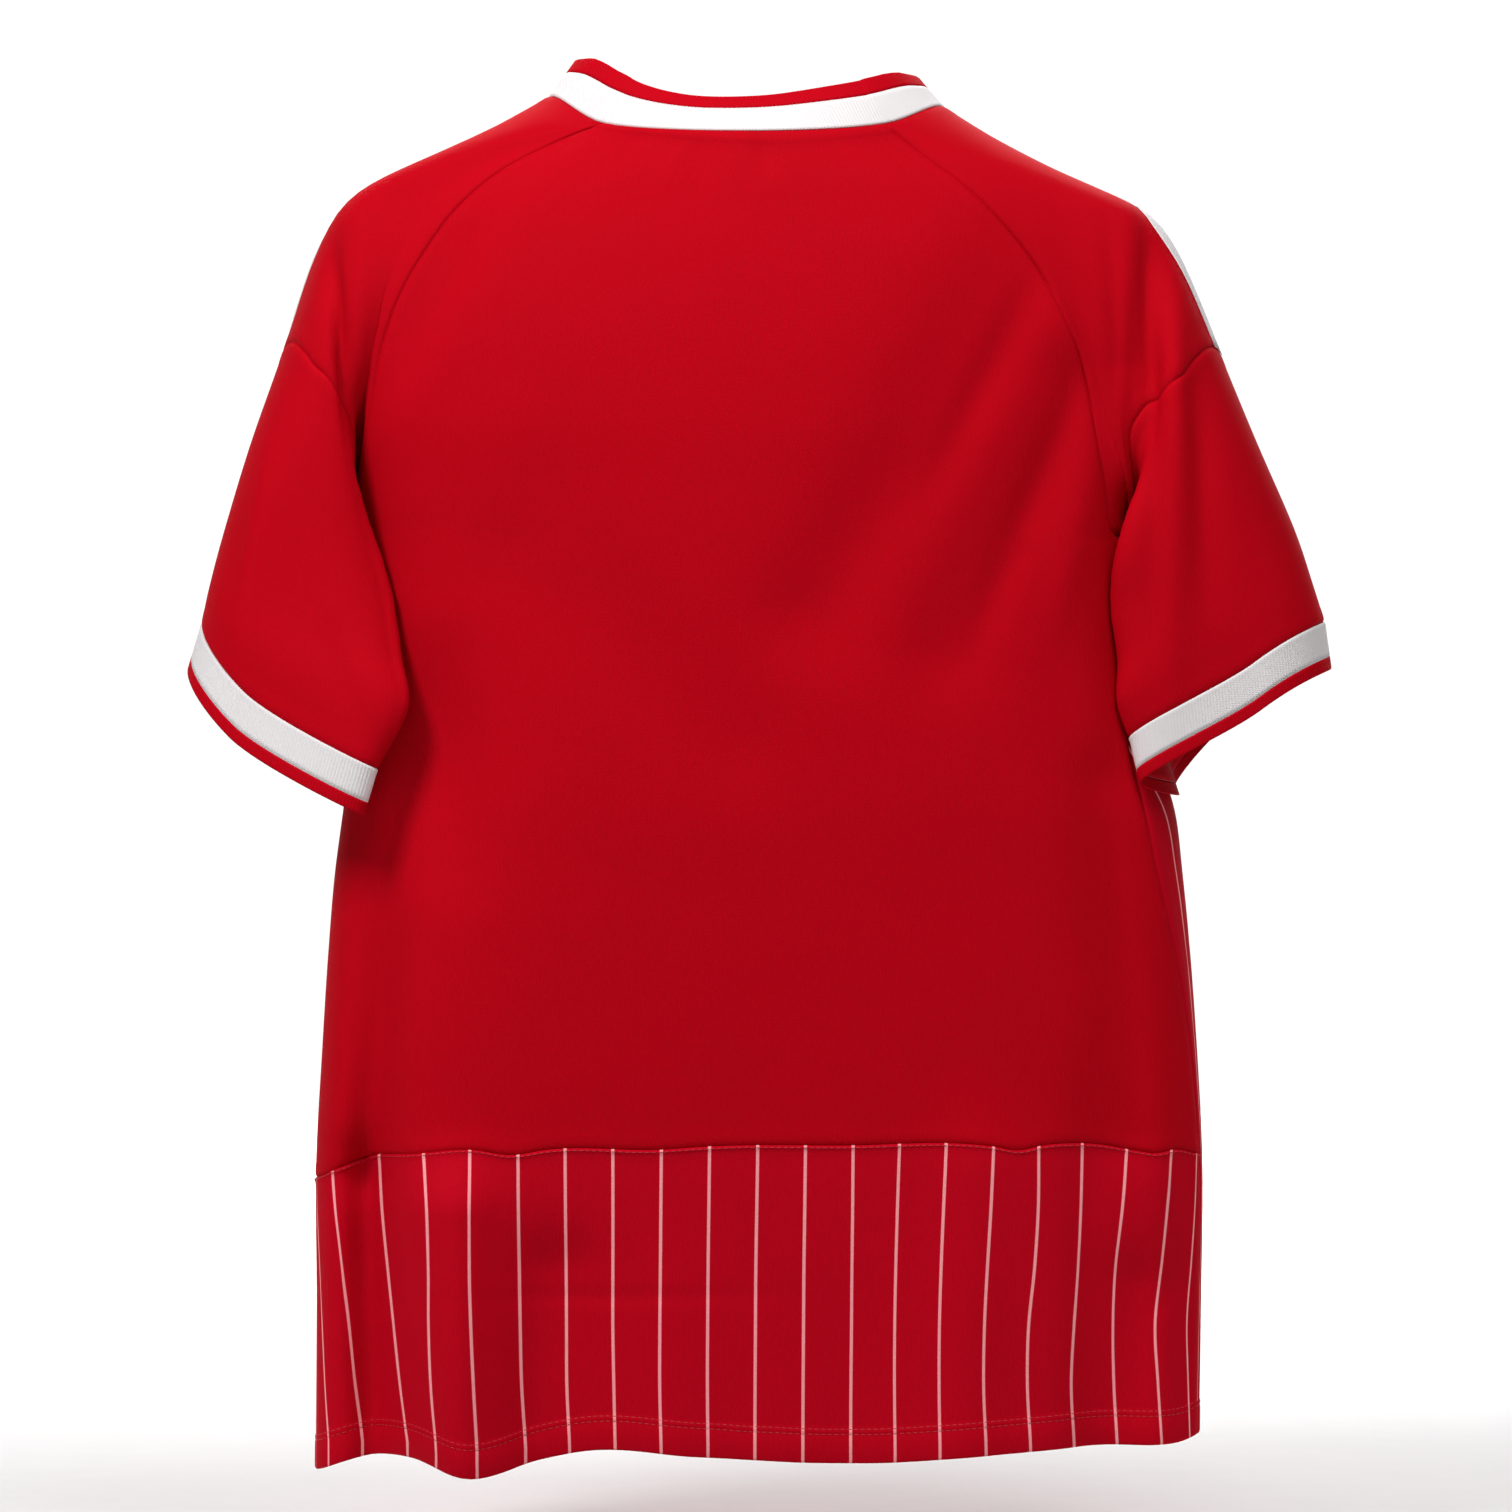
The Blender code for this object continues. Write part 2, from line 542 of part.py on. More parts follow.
def collar_rings(panels, tubes):
    """Rings of the collar from its seam up, counter-clockwise from the right end of the back's top row."""
    arcs = {}
    for side, tube in tubes.items():
        arcs[side] = tube[0, CHEST_ROWS : CHEST_ROWS + NECK_COLUMNS + 1]
    base = np.concatenate(
        [
            panels["back"][-1],
            arcs["left"][1:-1],
            panels["front"][-1],
            arcs["right"][1:-1][::-1],
        ]
    )
    along = np.roll(base, -1, axis=0) - np.roll(base, 1, axis=0)
    out = np.stack([-along[:, 1], along[:, 0], np.zeros(len(base))], axis=-1)
    out = unit(out)
    out = np.where((out * base * (1, 1, 0)).sum(axis=1, keepdims=True) < 0, -out, out)
    facing = out[:, 1]
    lean = COLLAR_LEAN["side"] + np.where(
        facing > 0,
        (COLLAR_LEAN["back"] - COLLAR_LEAN["side"]) * facing**2,
        (COLLAR_LEAN["front"] - COLLAR_LEAN["side"]) * facing**2,
    )
    lean = np.radians(lean)[:, None]
    way = -np.sin(lean) * out + np.cos(lean) * np.array([0.0, 0.0, 1.0])
    depths = (0.0, BAND_WHITE / 2, BAND_WHITE, BAND_WHITE + BAND_RED)
    return np.array([base + way * depth for depth in depths])


def drawn_back(edge, inside, closed):
    """The step that takes each point of an edge off the seam, at right angles to the seam."""
    if closed:
        along = np.roll(edge, -1, axis=0) - np.roll(edge, 1, axis=0)
    else:
        along = np.gradient(edge, axis=0)
    along, inwards = unit(along), inside - edge
    return unit(inwards - along * (inwards * along).sum(axis=1, keepdims=True)) * SEAM_GAP / 2


def pulled_in(points, closed):
    """The grid with its edges drawn back from the seams by half the seam gap."""
    out = points.copy()
    out[0] += drawn_back(points[0], points[1], closed)
    out[-1] += drawn_back(points[-1], points[-2], closed)
    if not closed:
        out[:, 0] += drawn_back(points[:, 0], points[:, 1], False)
        out[:, -1] += drawn_back(points[:, -1], points[:, -2], False)
    return out


def material(name, colour):
    found = bpy.data.materials.get(name) or bpy.data.materials.new(name)
    found.use_nodes = True
    shader = found.node_tree.nodes["Principled BSDF"]
    shader.inputs["Base Color"].default_value = (*colour, 1.0)
    shader.inputs["Roughness"].default_value = 0.8
    return found


def wall(collection, name, points, normals, colour, closed=False, thickness=WALL):
    """Add one piece of cloth: a closed wall to both sides of the grid's middle surface."""
    points = pulled_in(points, closed)
    rows, columns = points.shape[:2]
    mesh = bpy.data.meshes.new(name)
    body = bmesh.new()
    layers = []
    for side in (0.5, -0.5):
        shifted = points + normals * thickness * side
        layers.append([[body.verts.new(shifted[row, col]) for col in range(columns)] for row in range(rows)])
    wraps = columns if closed else columns - 1
    for layer in layers:
        for row in range(rows - 1):
            for col in range(wraps):
                after = (col + 1) % columns
                below, above = layer[row], layer[row + 1]
                body.faces.new((below[col], below[after], above[after], above[col]))
    outer, inner = layers
    for row in (0, rows - 1):
        for col in range(wraps):
            after = (col + 1) % columns
            body.faces.new((outer[row][col], outer[row][after], inner[row][after], inner[row][col]))
    if not closed:
        for col in (0, columns - 1):
            for row in range(rows - 1):
                body.faces.new((outer[row][col], outer[row + 1][col], inner[row + 1][col], inner[row][col]))
    bmesh.ops.triangulate(body, faces=body.faces)
    bmesh.ops.recalc_face_normals(body, faces=body.faces)
    body.to_mesh(mesh)
    body.free()
    mesh.materials.append(material(name, colour))
    collection.objects.link(bpy.data.objects.new(name, mesh))


def shared(first, second):
    """One unit normal for each point of a seam, halfway between the two pieces that meet there."""
    return unit(first + second)


def build():
    for old in list(bpy.data.objects):
        bpy.data.objects.remove(old, do_unlink=True)
    collection = bpy.data.collections.new("football_jersey")
    bpy.context.scene.collection.children.link(collection)

    panels = {which: panel(which) for which in ("back", "front")}
    normals = {which: body_normals(points) for which, points in panels.items()}
    tubes, tube_normals = {}, {}
    for side in ("left", "right"):
        outwards = np.array([1.0 if side == "left" else -1.0, 1.0, 1.0])
        tube = sleeve_tube(side, panels)
        tubes[side] = tube * outwards
        tube_normals[side] = surface_normals(tube, closed=True) * outwards
    collar = collar_rings(panels, tubes)
    collar_normals = body_normals(collar, closed=True)

    underarm = HEM_ROWS + WAIST_ROWS
    for side in ("left", "right"):
        back_edge, front_edge = (-1, 0) if side == "left" else (0, -1)
        below = shared(normals["back"][:underarm, back_edge], normals["front"][:underarm, front_edge])
        normals["back"][:underarm, back_edge] = below
        normals["front"][:underarm, front_edge] = below
        loop = tube_normals[side][0]
        corner = unit(loop[0] + normals["back"][underarm, back_edge] + normals["front"][underarm, front_edge])
        up = shared(loop[1:CHEST_ROWS], normals["back"][underarm + 1 : -1, back_edge])
        first_down = CHEST_ROWS + NECK_COLUMNS + 1
        down = shared(loop[first_down:][::-1], normals["front"][underarm + 1 : -1, front_edge])
        normals["back"][underarm + 1 : -1, back_edge] = up
        normals["front"][underarm + 1 : -1, front_edge] = down
        loop[1:CHEST_ROWS] = up
        loop[first_down:] = down[::-1]
        loop[0] = normals["back"][underarm, back_edge] = normals["front"][underarm, front_edge] = corner

    # Around the neck, three or four pieces share each normal.
    size = NECK_COLUMNS
    around = {
        "back": slice(0, BACK_COLUMNS + 1),
        "left": slice(BACK_COLUMNS, BACK_COLUMNS + size + 1),
        "front": slice(BACK_COLUMNS + size, BACK_COLUMNS + size + FRONT_COLUMNS + 1),
    }
    base = collar_normals[0].copy()
    total = base.copy()
    total[around["back"]] += normals["back"][-1]
    total[around["front"]] += normals["front"][-1]
    neck = slice(CHEST_ROWS, CHEST_ROWS + size + 1)
    total[around["left"]] += tube_normals["left"][0, neck]
    right = np.append(np.arange(BACK_COLUMNS + size + FRONT_COLUMNS, len(base)), 0)
    total[right] += tube_normals["right"][0, neck][::-1]
    total = unit(total)
    collar_normals[0] = total
    normals["back"][-1] = total[around["back"]]
    normals["front"][-1] = total[around["front"]]
    tube_normals["left"][0, neck] = total[around["left"]]
    tube_normals["right"][0, neck] = total[right][::-1]

    seam = HEM_ROWS
    wall(collection, "back", panels["back"][seam:], normals["back"][seam:], RED)
    wall(collection, "back_hem_panel", panels["back"][: seam + 1], normals["back"][: seam + 1], CRIMSON)
    wall(collection, "front", panels["front"], normals["front"], CRIMSON)
    first, last = SHOULDER_ROWS, SHOULDER_ROWS + SLEEVE_ROWS
    for side in ("left", "right"):
        tube, out = tubes[side], tube_normals[side]
        pieces = (
            ("shoulder", 0, first, RED),
            ("sleeve", first, last, RED),
            ("cuff_band", last, last + 2, WHITE),
            ("cuff_edge", last + 2, last + 3, RED),
        )
        for name, start, end, colour in pieces:
            rows = slice(start, end + 1)
            wall(collection, f"{name}_{side}", tube[rows], out[rows], colour, closed=True)
        columns = slice(CHEST_ROWS + TAPE_COLUMNS[0], CHEST_ROWS + TAPE_COLUMNS[1] + 1)
        lift = (WALL + TAPE) / 2 + SEAM_GAP
        tape, tape_out = tube[: first + 1, columns], out[: first + 1, columns]
        tape = tape + tape_out * lift
        wall(collection, f"shoulder_stripe_{side}", tape, tape_out, WHITE, thickness=TAPE)
    wall(collection, "collar_band", collar[:3], collar_normals[:3], WHITE, closed=True)
    wall(collection, "collar_edge", collar[2:], collar_normals[2:], RED, closed=True)


build()
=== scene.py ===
"""The looks of a football jersey, filled out and held up at the shoulders, built over its frame of solids.

Units are metres and +Z is up. The garment's front faces -Y and its back +Y, so the wearer's left is +X.
Every piece of cloth is a thin closed shell on the form of the solid that it replaces, at four times its mesh
density, with the finer folds, the turned seams and the doubled hem. Fabric is measured out in each piece's UV
map, in metres, so that the knit, the ribs and the pinstripes keep their real size everywhere.
"""

from collections import namedtuple
from functools import lru_cache

import bmesh
import bpy
import numpy as np
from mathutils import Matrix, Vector
from bpy.props import FloatProperty, FloatVectorProperty, PointerProperty


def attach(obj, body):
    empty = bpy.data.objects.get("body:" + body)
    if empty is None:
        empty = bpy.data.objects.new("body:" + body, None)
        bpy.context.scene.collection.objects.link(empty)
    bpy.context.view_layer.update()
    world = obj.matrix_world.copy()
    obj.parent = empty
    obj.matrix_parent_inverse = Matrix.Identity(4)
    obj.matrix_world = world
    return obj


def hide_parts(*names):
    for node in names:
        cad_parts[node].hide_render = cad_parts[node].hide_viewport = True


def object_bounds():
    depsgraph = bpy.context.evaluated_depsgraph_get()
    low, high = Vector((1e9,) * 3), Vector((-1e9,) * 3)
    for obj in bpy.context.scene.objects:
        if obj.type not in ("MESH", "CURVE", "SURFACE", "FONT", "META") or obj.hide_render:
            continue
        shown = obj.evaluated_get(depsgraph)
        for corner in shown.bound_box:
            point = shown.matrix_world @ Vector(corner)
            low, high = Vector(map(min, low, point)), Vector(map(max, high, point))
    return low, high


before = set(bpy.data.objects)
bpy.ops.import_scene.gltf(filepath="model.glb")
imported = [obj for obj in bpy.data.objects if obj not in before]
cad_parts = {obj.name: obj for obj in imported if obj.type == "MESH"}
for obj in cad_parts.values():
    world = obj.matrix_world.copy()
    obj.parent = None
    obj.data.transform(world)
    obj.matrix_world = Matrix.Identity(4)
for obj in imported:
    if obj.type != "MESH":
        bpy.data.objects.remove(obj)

bl_info = {
    "name": "Football jersey",
    "version": (1, 0, 0),
    "blender": (4, 5, 0),
    "location": "View3D > Sidebar > Jersey",
    "description": "Sews a filled-out football jersey from knit cloth and sets it in a plain studio",
    "category": "Add Mesh",
}

CAD_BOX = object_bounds()

# Depths of the bands of the cuffs and of the collar.
BAND_WHITE = 0.0180
BAND_RED = 0.0070
COLLAR_WHITE = 0.0158
COLLAR_RED = 0.0092

# The faces of the cloth, measured from the middle surface of its wall.
CLOTH_OUT = 0.0006
CLOTH_IN = 0.0004
RIB_OUT = 0.0008
RIB_IN = 0.0005
TAPE_RISE = 0.0013
TAPE_THICK = 0.0006
SHADE_LINING_DEPTH = 0.0006  # the red facing inside each cuff, painted shade for its opening, lies this far inside
SHADE_LINING_THICK = 0.0003

# Mesh density, in steps.
FINER = 4  # times as fine as the solids
BACK_COLUMNS = 30 * FINER
FRONT_COLUMNS = 26 * FINER
HEM_ROWS = 14 * FINER  # from the hem to the seam above the striped lower back
WAIST_ROWS = 12 * FINER  # from that seam to the underarm
CHEST_ROWS = 12 * FINER  # from the underarm to the neck, along the raglan seams
SHOULDER_ROWS = 7 * FINER
SLEEVE_ROWS = 8 * FINER
NECK_COLUMNS = 6 * FINER
BAND_ROWS = 6
EDGE_ROWS = 4
FINE = 481  # samples of a row before it is spaced out evenly

# Pinstripes and stitches.
STRIPE_PITCH = 0.0248
STRIPE_WIDTH = 0.0016
STRIPE_BLUR = 0.15  # share of its half width over which a pinstripe's edge fades
FRONT_STRIPE_START = 0.5  # stripes to the first one, counted from the middle of the front
ROUND_HEIGHT = -0.45  # where the body is measured round, to space the pinstripes
STITCH_PITCH = 0.0034
STITCH_LENGTH = 0.0026
STITCH_SIDES = 6
STITCH_PROFILE = ((-0.5, 0.35), (-0.25, 0.9), (0.25, 0.9), (0.5, 0.35))  # place along it, and thickness
STITCH_AHEAD = 0.001  # how far on the line is read to see which way a stitch points
THREAD = 0.00022  # half the thickness of the sewing thread
HEM_STITCHES = ((0.0151, 0.0001), (0.0178, 0.0))  # distance above the hem, and rise of the cloth there
PANEL_STITCHES = (0.0012, CLOTH_OUT + 0.0007)  # the same below the upper seam of the lower back

# The shoulder tapes: where their back and front edges cross the sleeve's columns, from the neck to the seam.
TapeRow = namedtuple("TapeRow", "row back front")
TAPES = {
    "left": (
        TapeRow(0, 60.0, 64.0),
        TapeRow(8, 60.2, 66.2),
        TapeRow(16, 61.0, 67.6),
        TapeRow(20, 62.5, 69.2),
        TapeRow(24, 63.8, 70.6),
        TapeRow(28, 63.0, 69.8),
    ),
    "right": (
        TapeRow(0, 59.0, 62.4),
        TapeRow(8, 57.0, 62.0),
        TapeRow(12, 55.4, 61.2),
        TapeRow(16, 53.2, 59.8),
        TapeRow(20, 52.2, 59.2),
        TapeRow(24, 52.4, 59.6),
        TapeRow(28, 52.9, 60.2),
    ),
}
TAPE_STEPS = 10  # columns across a tape

# The flat cut of each piece, all round on a tube: its greatest width and length, and its area.
Cut = namedtuple("Cut", "width length area")

# Studio.
CAMERA_X = -0.0053
CAMERA_Z = -0.3436
FLOOR_RADIUS = 4.0
UP = Vector((0.0, 0.0, 1.0))

# Lights. The share is of the key light's power, and the spread is the angle of the beam.
Light = namedtuple("Light", "name x y z size share spread")
LIGHTS = (
    Light("key", 1.2, 1.3, 1.5, 0.7, 0.84, np.pi),
    Light("fill", -0.6, 1.05, 1.8, 0.9, 0.56, np.pi),
    Light("front", -0.8, -2.6, 1.2, 1.8, 0.55, np.pi),
    Light("floor", 0.0, -3.2, 2.2, 2.4, 2.8, np.radians(130)),
)

# Level sections of the body. left and right are half widths, back and front are half depths, and square is
# the power of the rounded outline: 2 is an ellipse, and more is squarer.
BodySection = namedtuple("BodySection", "height left right back front square")
BODY = (
    BodySection(-0.7200, 0.2256, 0.2370, 0.062, 0.070, 3.4),
    BodySection(-0.6300, 0.2250, 0.2385, 0.068, 0.076, 3.3),
    BodySection(-0.5550, 0.2252, 0.2393, 0.074, 0.083, 3.2),
    BodySection(-0.4980, 0.2222, 0.2366, 0.078, 0.089, 3.0),
    BodySection(-0.4460, 0.2190, 0.2330, 0.081, 0.094, 2.8),
    BodySection(-0.4040, 0.2155, 0.2290, 0.083, 0.098, 2.7),
    BodySection(-0.3720, 0.2113, 0.2250, 0.085, 0.100, 2.6),
    BodySection(-0.3380, 0.2070, 0.2140, 0.086, 0.102, 2.5),
    BodySection(-0.3000, 0.2050, 0.2060, 0.087, 0.103, 2.4),
    BodySection(-0.2310, 0.2040, 0.2020, 0.088, 0.102, 2.4),
    BodySection(-0.2000, 0.2080, 0.2035, 0.088, 0.099, 2.4),
    BodySection(-0.1760, 0.2115, 0.2050, 0.088, 0.097, 2.4),
    BodySection(-0.1530, 0.2145, 0.2080, 0.087, 0.094, 2.35),
    BodySection(-0.1250, 0.2158, 0.2090, 0.085, 0.089, 2.3),
    BodySection(-0.1000, 0.2125, 0.2040, 0.082, 0.082, 2.25),
    BodySection(-0.0810, 0.2050, 0.1960, 0.079, 0.076, 2.2),
    BodySection(-0.0610, 0.1920, 0.1780, 0.075, 0.068, 2.15),
    BodySection(-0.0470, 0.1760, 0.1580, 0.072, 0.062, 2.1),
    BodySection(-0.0330, 0.1510, 0.1320, 0.068, 0.055, 2.05),
    BodySection(-0.0240, 0.1300, 0.1170, 0.065, 0.051, 2.0),
    BodySection(-0.0180, 0.1140, 0.1080, 0.063, 0.049, 2.0),
    BodySection(-0.0140, 0.1030, 0.1030, 0.061, 0.047, 2.0),
)

# Side seams below the underarm: turn is in degrees from the side of the body towards its back.
SideSeam = namedtuple("SideSeam", "height left right")
SIDE_SEAMS = (
    SideSeam(-0.7200, -6.0, 8.0),
    SideSeam(-0.5550, -7.0, 11.0),
    SideSeam(-0.4980, -8.0, 14.0),
    SideSeam(-0.4460, -8.0, 20.0),
    SideSeam(-0.3720, -8.0, 26.0),
    SideSeam(-0.3000, -8.0, 20.0),
    SideSeam(-0.2310, -8.0, 17.0),
)

# Raglan seams, from the neck down to the underarm: the turn in degrees as above, at each height.
SeamPoint = namedtuple("SeamPoint", "height turn")
RAGLAN = {
    ("left", "back"): (
        SeamPoint(-0.0150, 46.5),
        SeamPoint(-0.0190, 43.0),
        SeamPoint(-0.0260, 41.0),
        SeamPoint(-0.0380, 39.8),
        SeamPoint(-0.0520, 39.5),
        SeamPoint(-0.0730, 38.2),
        SeamPoint(-0.1000, 35.2),
        SeamPoint(-0.1300, 31.0),
        SeamPoint(-0.1600, 26.0),
        SeamPoint(-0.1900, 19.0),
        SeamPoint(-0.2150, 9.0),
        SeamPoint(-0.2310, -8.0),
    ),
    ("right", "back"): (
        SeamPoint(-0.0150, 46.5),
        SeamPoint(-0.0210, 45.5),
        SeamPoint(-0.0330, 45.5),
        SeamPoint(-0.0500, 45.9),
        SeamPoint(-0.0700, 45.5),
        SeamPoint(-0.1050, 41.4),
        SeamPoint(-0.1450, 35.2),
        SeamPoint(-0.1800, 29.6),
        SeamPoint(-0.2080, 25.4),
        SeamPoint(-0.2310, 22.0),
    ),
    ("left", "front"): (
        SeamPoint(-0.0500, -62.0),
        SeamPoint(-0.0800, -52.0),
        SeamPoint(-0.1200, -44.0),
        SeamPoint(-0.1600, -36.0),
        SeamPoint(-0.2000, -27.0),
        SeamPoint(-0.2240, -18.0),
        SeamPoint(-0.2310, -8.0),
    ),
    ("right", "front"): (
        SeamPoint(-0.0560, -62.0),
        SeamPoint(-0.0850, -52.0),
        SeamPoint(-0.1250, -44.0),
        SeamPoint(-0.1600, -34.0),
        SeamPoint(-0.1900, -22.0),
        SeamPoint(-0.2100, -6.0),
        SeamPoint(-0.2220, 8.0),
        SeamPoint(-0.2310, 22.0),
    ),
}

# Neck point of each shoulder, and how far the middle of each neckline hangs below its corners.
NECK_POINTS = {"left": (0.104, 0.000, 0.002), "right": (0.105, 0.000, -0.004)}
NECK_DIP = {"back": -0.0056, "front": -0.0380}

# Heights of the lower edge and of the seam above it, from the right side to the left side.
EdgePoint = namedtuple("EdgePoint", "x height")
HEM = {
    "back": (
        EdgePoint(-0.2350, -0.6985),
        EdgePoint(-0.2280, -0.7010),
        EdgePoint(-0.2150, -0.7020),
        EdgePoint(-0.1830, -0.7017),
        EdgePoint(-0.1310, -0.7046),
        EdgePoint(-0.0600, -0.7092),
        EdgePoint(0.0240, -0.7058),
        EdgePoint(0.0770, -0.7027),
        EdgePoint(0.1065, -0.7076),
        EdgePoint(0.1400, -0.7153),
        EdgePoint(0.1740, -0.7072),
        EdgePoint(0.1910, -0.7074),
        EdgePoint(0.2093, -0.7109),
        EdgePoint(0.2256, -0.7175),
    ),
    "front": (
        EdgePoint(-0.2350, -0.6985),
        EdgePoint(-0.2200, -0.7040),
        EdgePoint(-0.1200, -0.7110),
        EdgePoint(0.0000, -0.7070),
        EdgePoint(0.1200, -0.7125),
        EdgePoint(0.2256, -0.7175),
    ),
}
LOWER_BACK_SEAM = (
    EdgePoint(-0.2350, -0.5510),
    EdgePoint(-0.2240, -0.5480),
    EdgePoint(-0.2130, -0.5498),
    EdgePoint(-0.2040, -0.5485),
    EdgePoint(-0.1800, -0.5440),
    EdgePoint(-0.1530, -0.5445),
    EdgePoint(-0.1420, -0.5468),
    EdgePoint(-0.1280, -0.5445),
    EdgePoint(-0.0500, -0.5440),
    EdgePoint(0.0200, -0.5445),
    EdgePoint(0.0450, -0.5462),
    EdgePoint(0.1030, -0.5462),
    EdgePoint(0.1216, -0.5490),
    EdgePoint(0.1417, -0.5462),
    EdgePoint(0.1700, -0.5485),
    EdgePoint(0.1920, -0.5510),
    EdgePoint(0.2100, -0.5570),
    EdgePoint(0.2256, -0.5650),
)

# Soft folds of the body: a ridge (rise above 0) or a trough along the line from one point to another.
BodyFold = namedtuple("BodyFold", "x0 z0 x1 z1 width rise")
BODY_FOLDS = {
    "back": (
        BodyFold(0.207, -0.350, 0.203, -0.560, 0.014, -0.008),
        BodyFold(0.203, -0.560, 0.183, -0.730, 0.017, -0.012),
        BodyFold(0.152, -0.580, 0.139, -0.730, 0.026, 0.014),
        BodyFold(0.098, -0.610, 0.088, -0.730, 0.022, -0.007),
        BodyFold(-0.150, -0.075, -0.040, -0.270, 0.030, -0.005),
        BodyFold(-0.165, -0.150, -0.105, -0.290, 0.026, -0.005),
        BodyFold(-0.188, -0.360, -0.200, -0.540, 0.020, -0.005),
        BodyFold(0.120, -0.240, 0.010, -0.335, 0.030, -0.003),
        BodyFold(-0.205, -0.620, -0.190, -0.730, 0.020, -0.006),
        BodyFold(-0.120, -0.560, -0.105, -0.730, 0.028, 0.004),
    ),
    "front": (
        BodyFold(0.150, -0.110, 0.060, -0.290, 0.022, -0.006),
        BodyFold(-0.150, -0.110, -0.055, -0.300, 0.022, -0.006),
        BodyFold(0.110, -0.430, 0.125, -0.730, 0.026, 0.009),
        BodyFold(0.060, -0.500, 0.066, -0.730, 0.022, -0.007),
        BodyFold(-0.100, -0.460, -0.112, -0.730, 0.028, 0.008),
        BodyFold(-0.175, -0.360, -0.168, -0.730, 0.024, -0.008),
    ),
}

# Sections of the sleeves from the upper sleeve seam to the edge of the cuff, with x measured outwards. outer
# and inner are the ends of the section's long way, back is its half depth towards the back, fold moves the
# fold of spare cloth at the body, and arch lifts the back and the front above the line between the ends.
Section = namedtuple(
    "Section",
    "outer_x outer_y outer_z inner_x inner_y inner_z back_x back_y back_z fold_x fold_y fold_z arch",
)
SLEEVES = {
    "left": (
        Section(0.242, 0.002, -0.127, 0.212, 0.006, -0.238, -0.012, 0.052, 0.022, -0.008, 0.006, 0.0, 0.0),
        Section(0.259, 0.0, -0.178, 0.208, 0.01, -0.268, 0.0, 0.052, 0.012, -0.028, 0.012, 0.0, 0.0),
        Section(0.273, -0.002, -0.224, 0.207, 0.015, -0.298, 0.005, 0.05, 0.002, -0.037, 0.022, 0.0, 0.0),
        Section(0.281, 0.0, -0.254, 0.209, 0.02, -0.322, 0.006, 0.049, -0.004, -0.044, 0.028, 0.0, 0.0),
        Section(0.285, 0.0, -0.272, 0.213, 0.022, -0.338, 0.006, 0.047, -0.01, -0.032, 0.026, -0.012, 0.0),
    ),
    "right": (
        Section(0.248, 0.002, -0.129, 0.212, 0.006, -0.238, -0.012, 0.05, 0.02, -0.006, 0.004, 0.0, 0.0),
        Section(0.268, 0.002, -0.178, 0.207, 0.006, -0.27, -0.004, 0.05, 0.009, -0.021, 0.012, 0.0, 0.002),
        Section(0.288, 0.002, -0.224, 0.209, 0.005, -0.3, -0.002, 0.048, 0.003, -0.020, 0.018, 0.0, 0.005),
        Section(0.298, 0.002, -0.254, 0.214, 0.003, -0.323, 0.0, 0.047, 0.001, -0.028, 0.022, 0.0, 0.008),
        Section(0.304, 0.002, -0.273, 0.219, 0.001, -0.339, 0.0, 0.046, -0.001, -0.027, 0.022, -0.002, 0.01),
    ),
}
SLEEVE_FOLD_TURN = {"left": 145.0, "right": 150.0}  # where the fold lies: 0 is the outside, 90 the back
SLEEVE_FOLD_REACH = (64.0, 38.0)  # degrees to its back and to its front
BODY_CLEARANCE = 0.0045  # a sleeve lies this far off the body where the two would meet
BODY_EASING = 0.012  # how softly it comes to lie there, as a share of the body's half width
CLEAR_RATE = 4  # it is clear of the body from one part in this many of its length
ARMPIT_TURN = 180.0

# Columns over the shoulder: the share of the way round the neck, back to front, and the sleeve's turn below.
OverColumn = namedtuple("OverColumn", "share turn")
OVER = (
    OverColumn(0.00, 28.0),
    OverColumn(0.20, 19.0),
    OverColumn(0.38, 9.0),
    OverColumn(0.52, 0.0),
    OverColumn(0.70, -17.0),
    OverColumn(0.85, -23.0),
    OverColumn(1.00, -28.0),
)
CUFF_WAY = {"left": (0.29, 0.0, -0.957), "right": (0.14, 0.0, -0.990)}  # way down the cuff

# How far the loft of a shoulder piece follows the body and the sleeve, as shares of its own length, and the
# least of each at the armpit.
SIDE_PULL = (0.34, 0.34)
TOP_PULL = (0.78, 0.55)
ARMPIT_PULL = (0.011, 0.013)
EASE = 6 * FINER**2  # times that each ring of a shoulder piece is evened out
EASE_IN = 2.4  # how soon that starts after the seams
LEAST_SPREAD = 0.6  # least turn of a column away from the seam that it leaves
ARMPIT_COLUMNS = 4 * FINER  # columns to each side of the armpit over which that changes
TOP_COLUMNS = 5 * FINER  # and to each side of the neck
SHOULDER_SLOPE = (0.38, 0.0, 0.925)  # outward normal of the shoulder piece at the neck point

# The collar leans in towards the neck: degrees from upright at the sides, at the back and at the front.
COLLAR_LEAN = {"side": 34.0, "back": 44.0, "front": 30.0}

# How far the upper edge of the collar stands above that, from the right side to the left side, at the back.
COLLAR_RISES = (
    EdgePoint(-0.1000, -0.0038),
    EdgePoint(-0.0878, -0.0037),
    EdgePoint(-0.0849, -0.0023),
    EdgePoint(-0.0806, 0.0009),
    EdgePoint(-0.0735, 0.0040),
    EdgePoint(-0.0592, 0.0054),
    EdgePoint(-0.0447, 0.0052),
    EdgePoint(-0.0307, 0.0040),
    EdgePoint(-0.0164, 0.0025),
    EdgePoint(0.0000, 0.0015),
    EdgePoint(0.0270, 0.0015),
    EdgePoint(0.0411, 0.0030),
    EdgePoint(0.0552, 0.0055),
    EdgePoint(0.0637, 0.0072),
    EdgePoint(0.0722, 0.0080),
    EdgePoint(0.0807, 0.0050),
    EdgePoint(0.0836, 0.0023),
    EdgePoint(0.0869, 0.0000),
    EdgePoint(0.1000, 0.0000),
)
COLLAR_RISE_DEPTH = 0.03  # how far in from the back that rise fades out
COLLAR_RISE_POWER = 0.8  # how it fades from the upper edge down to the seam

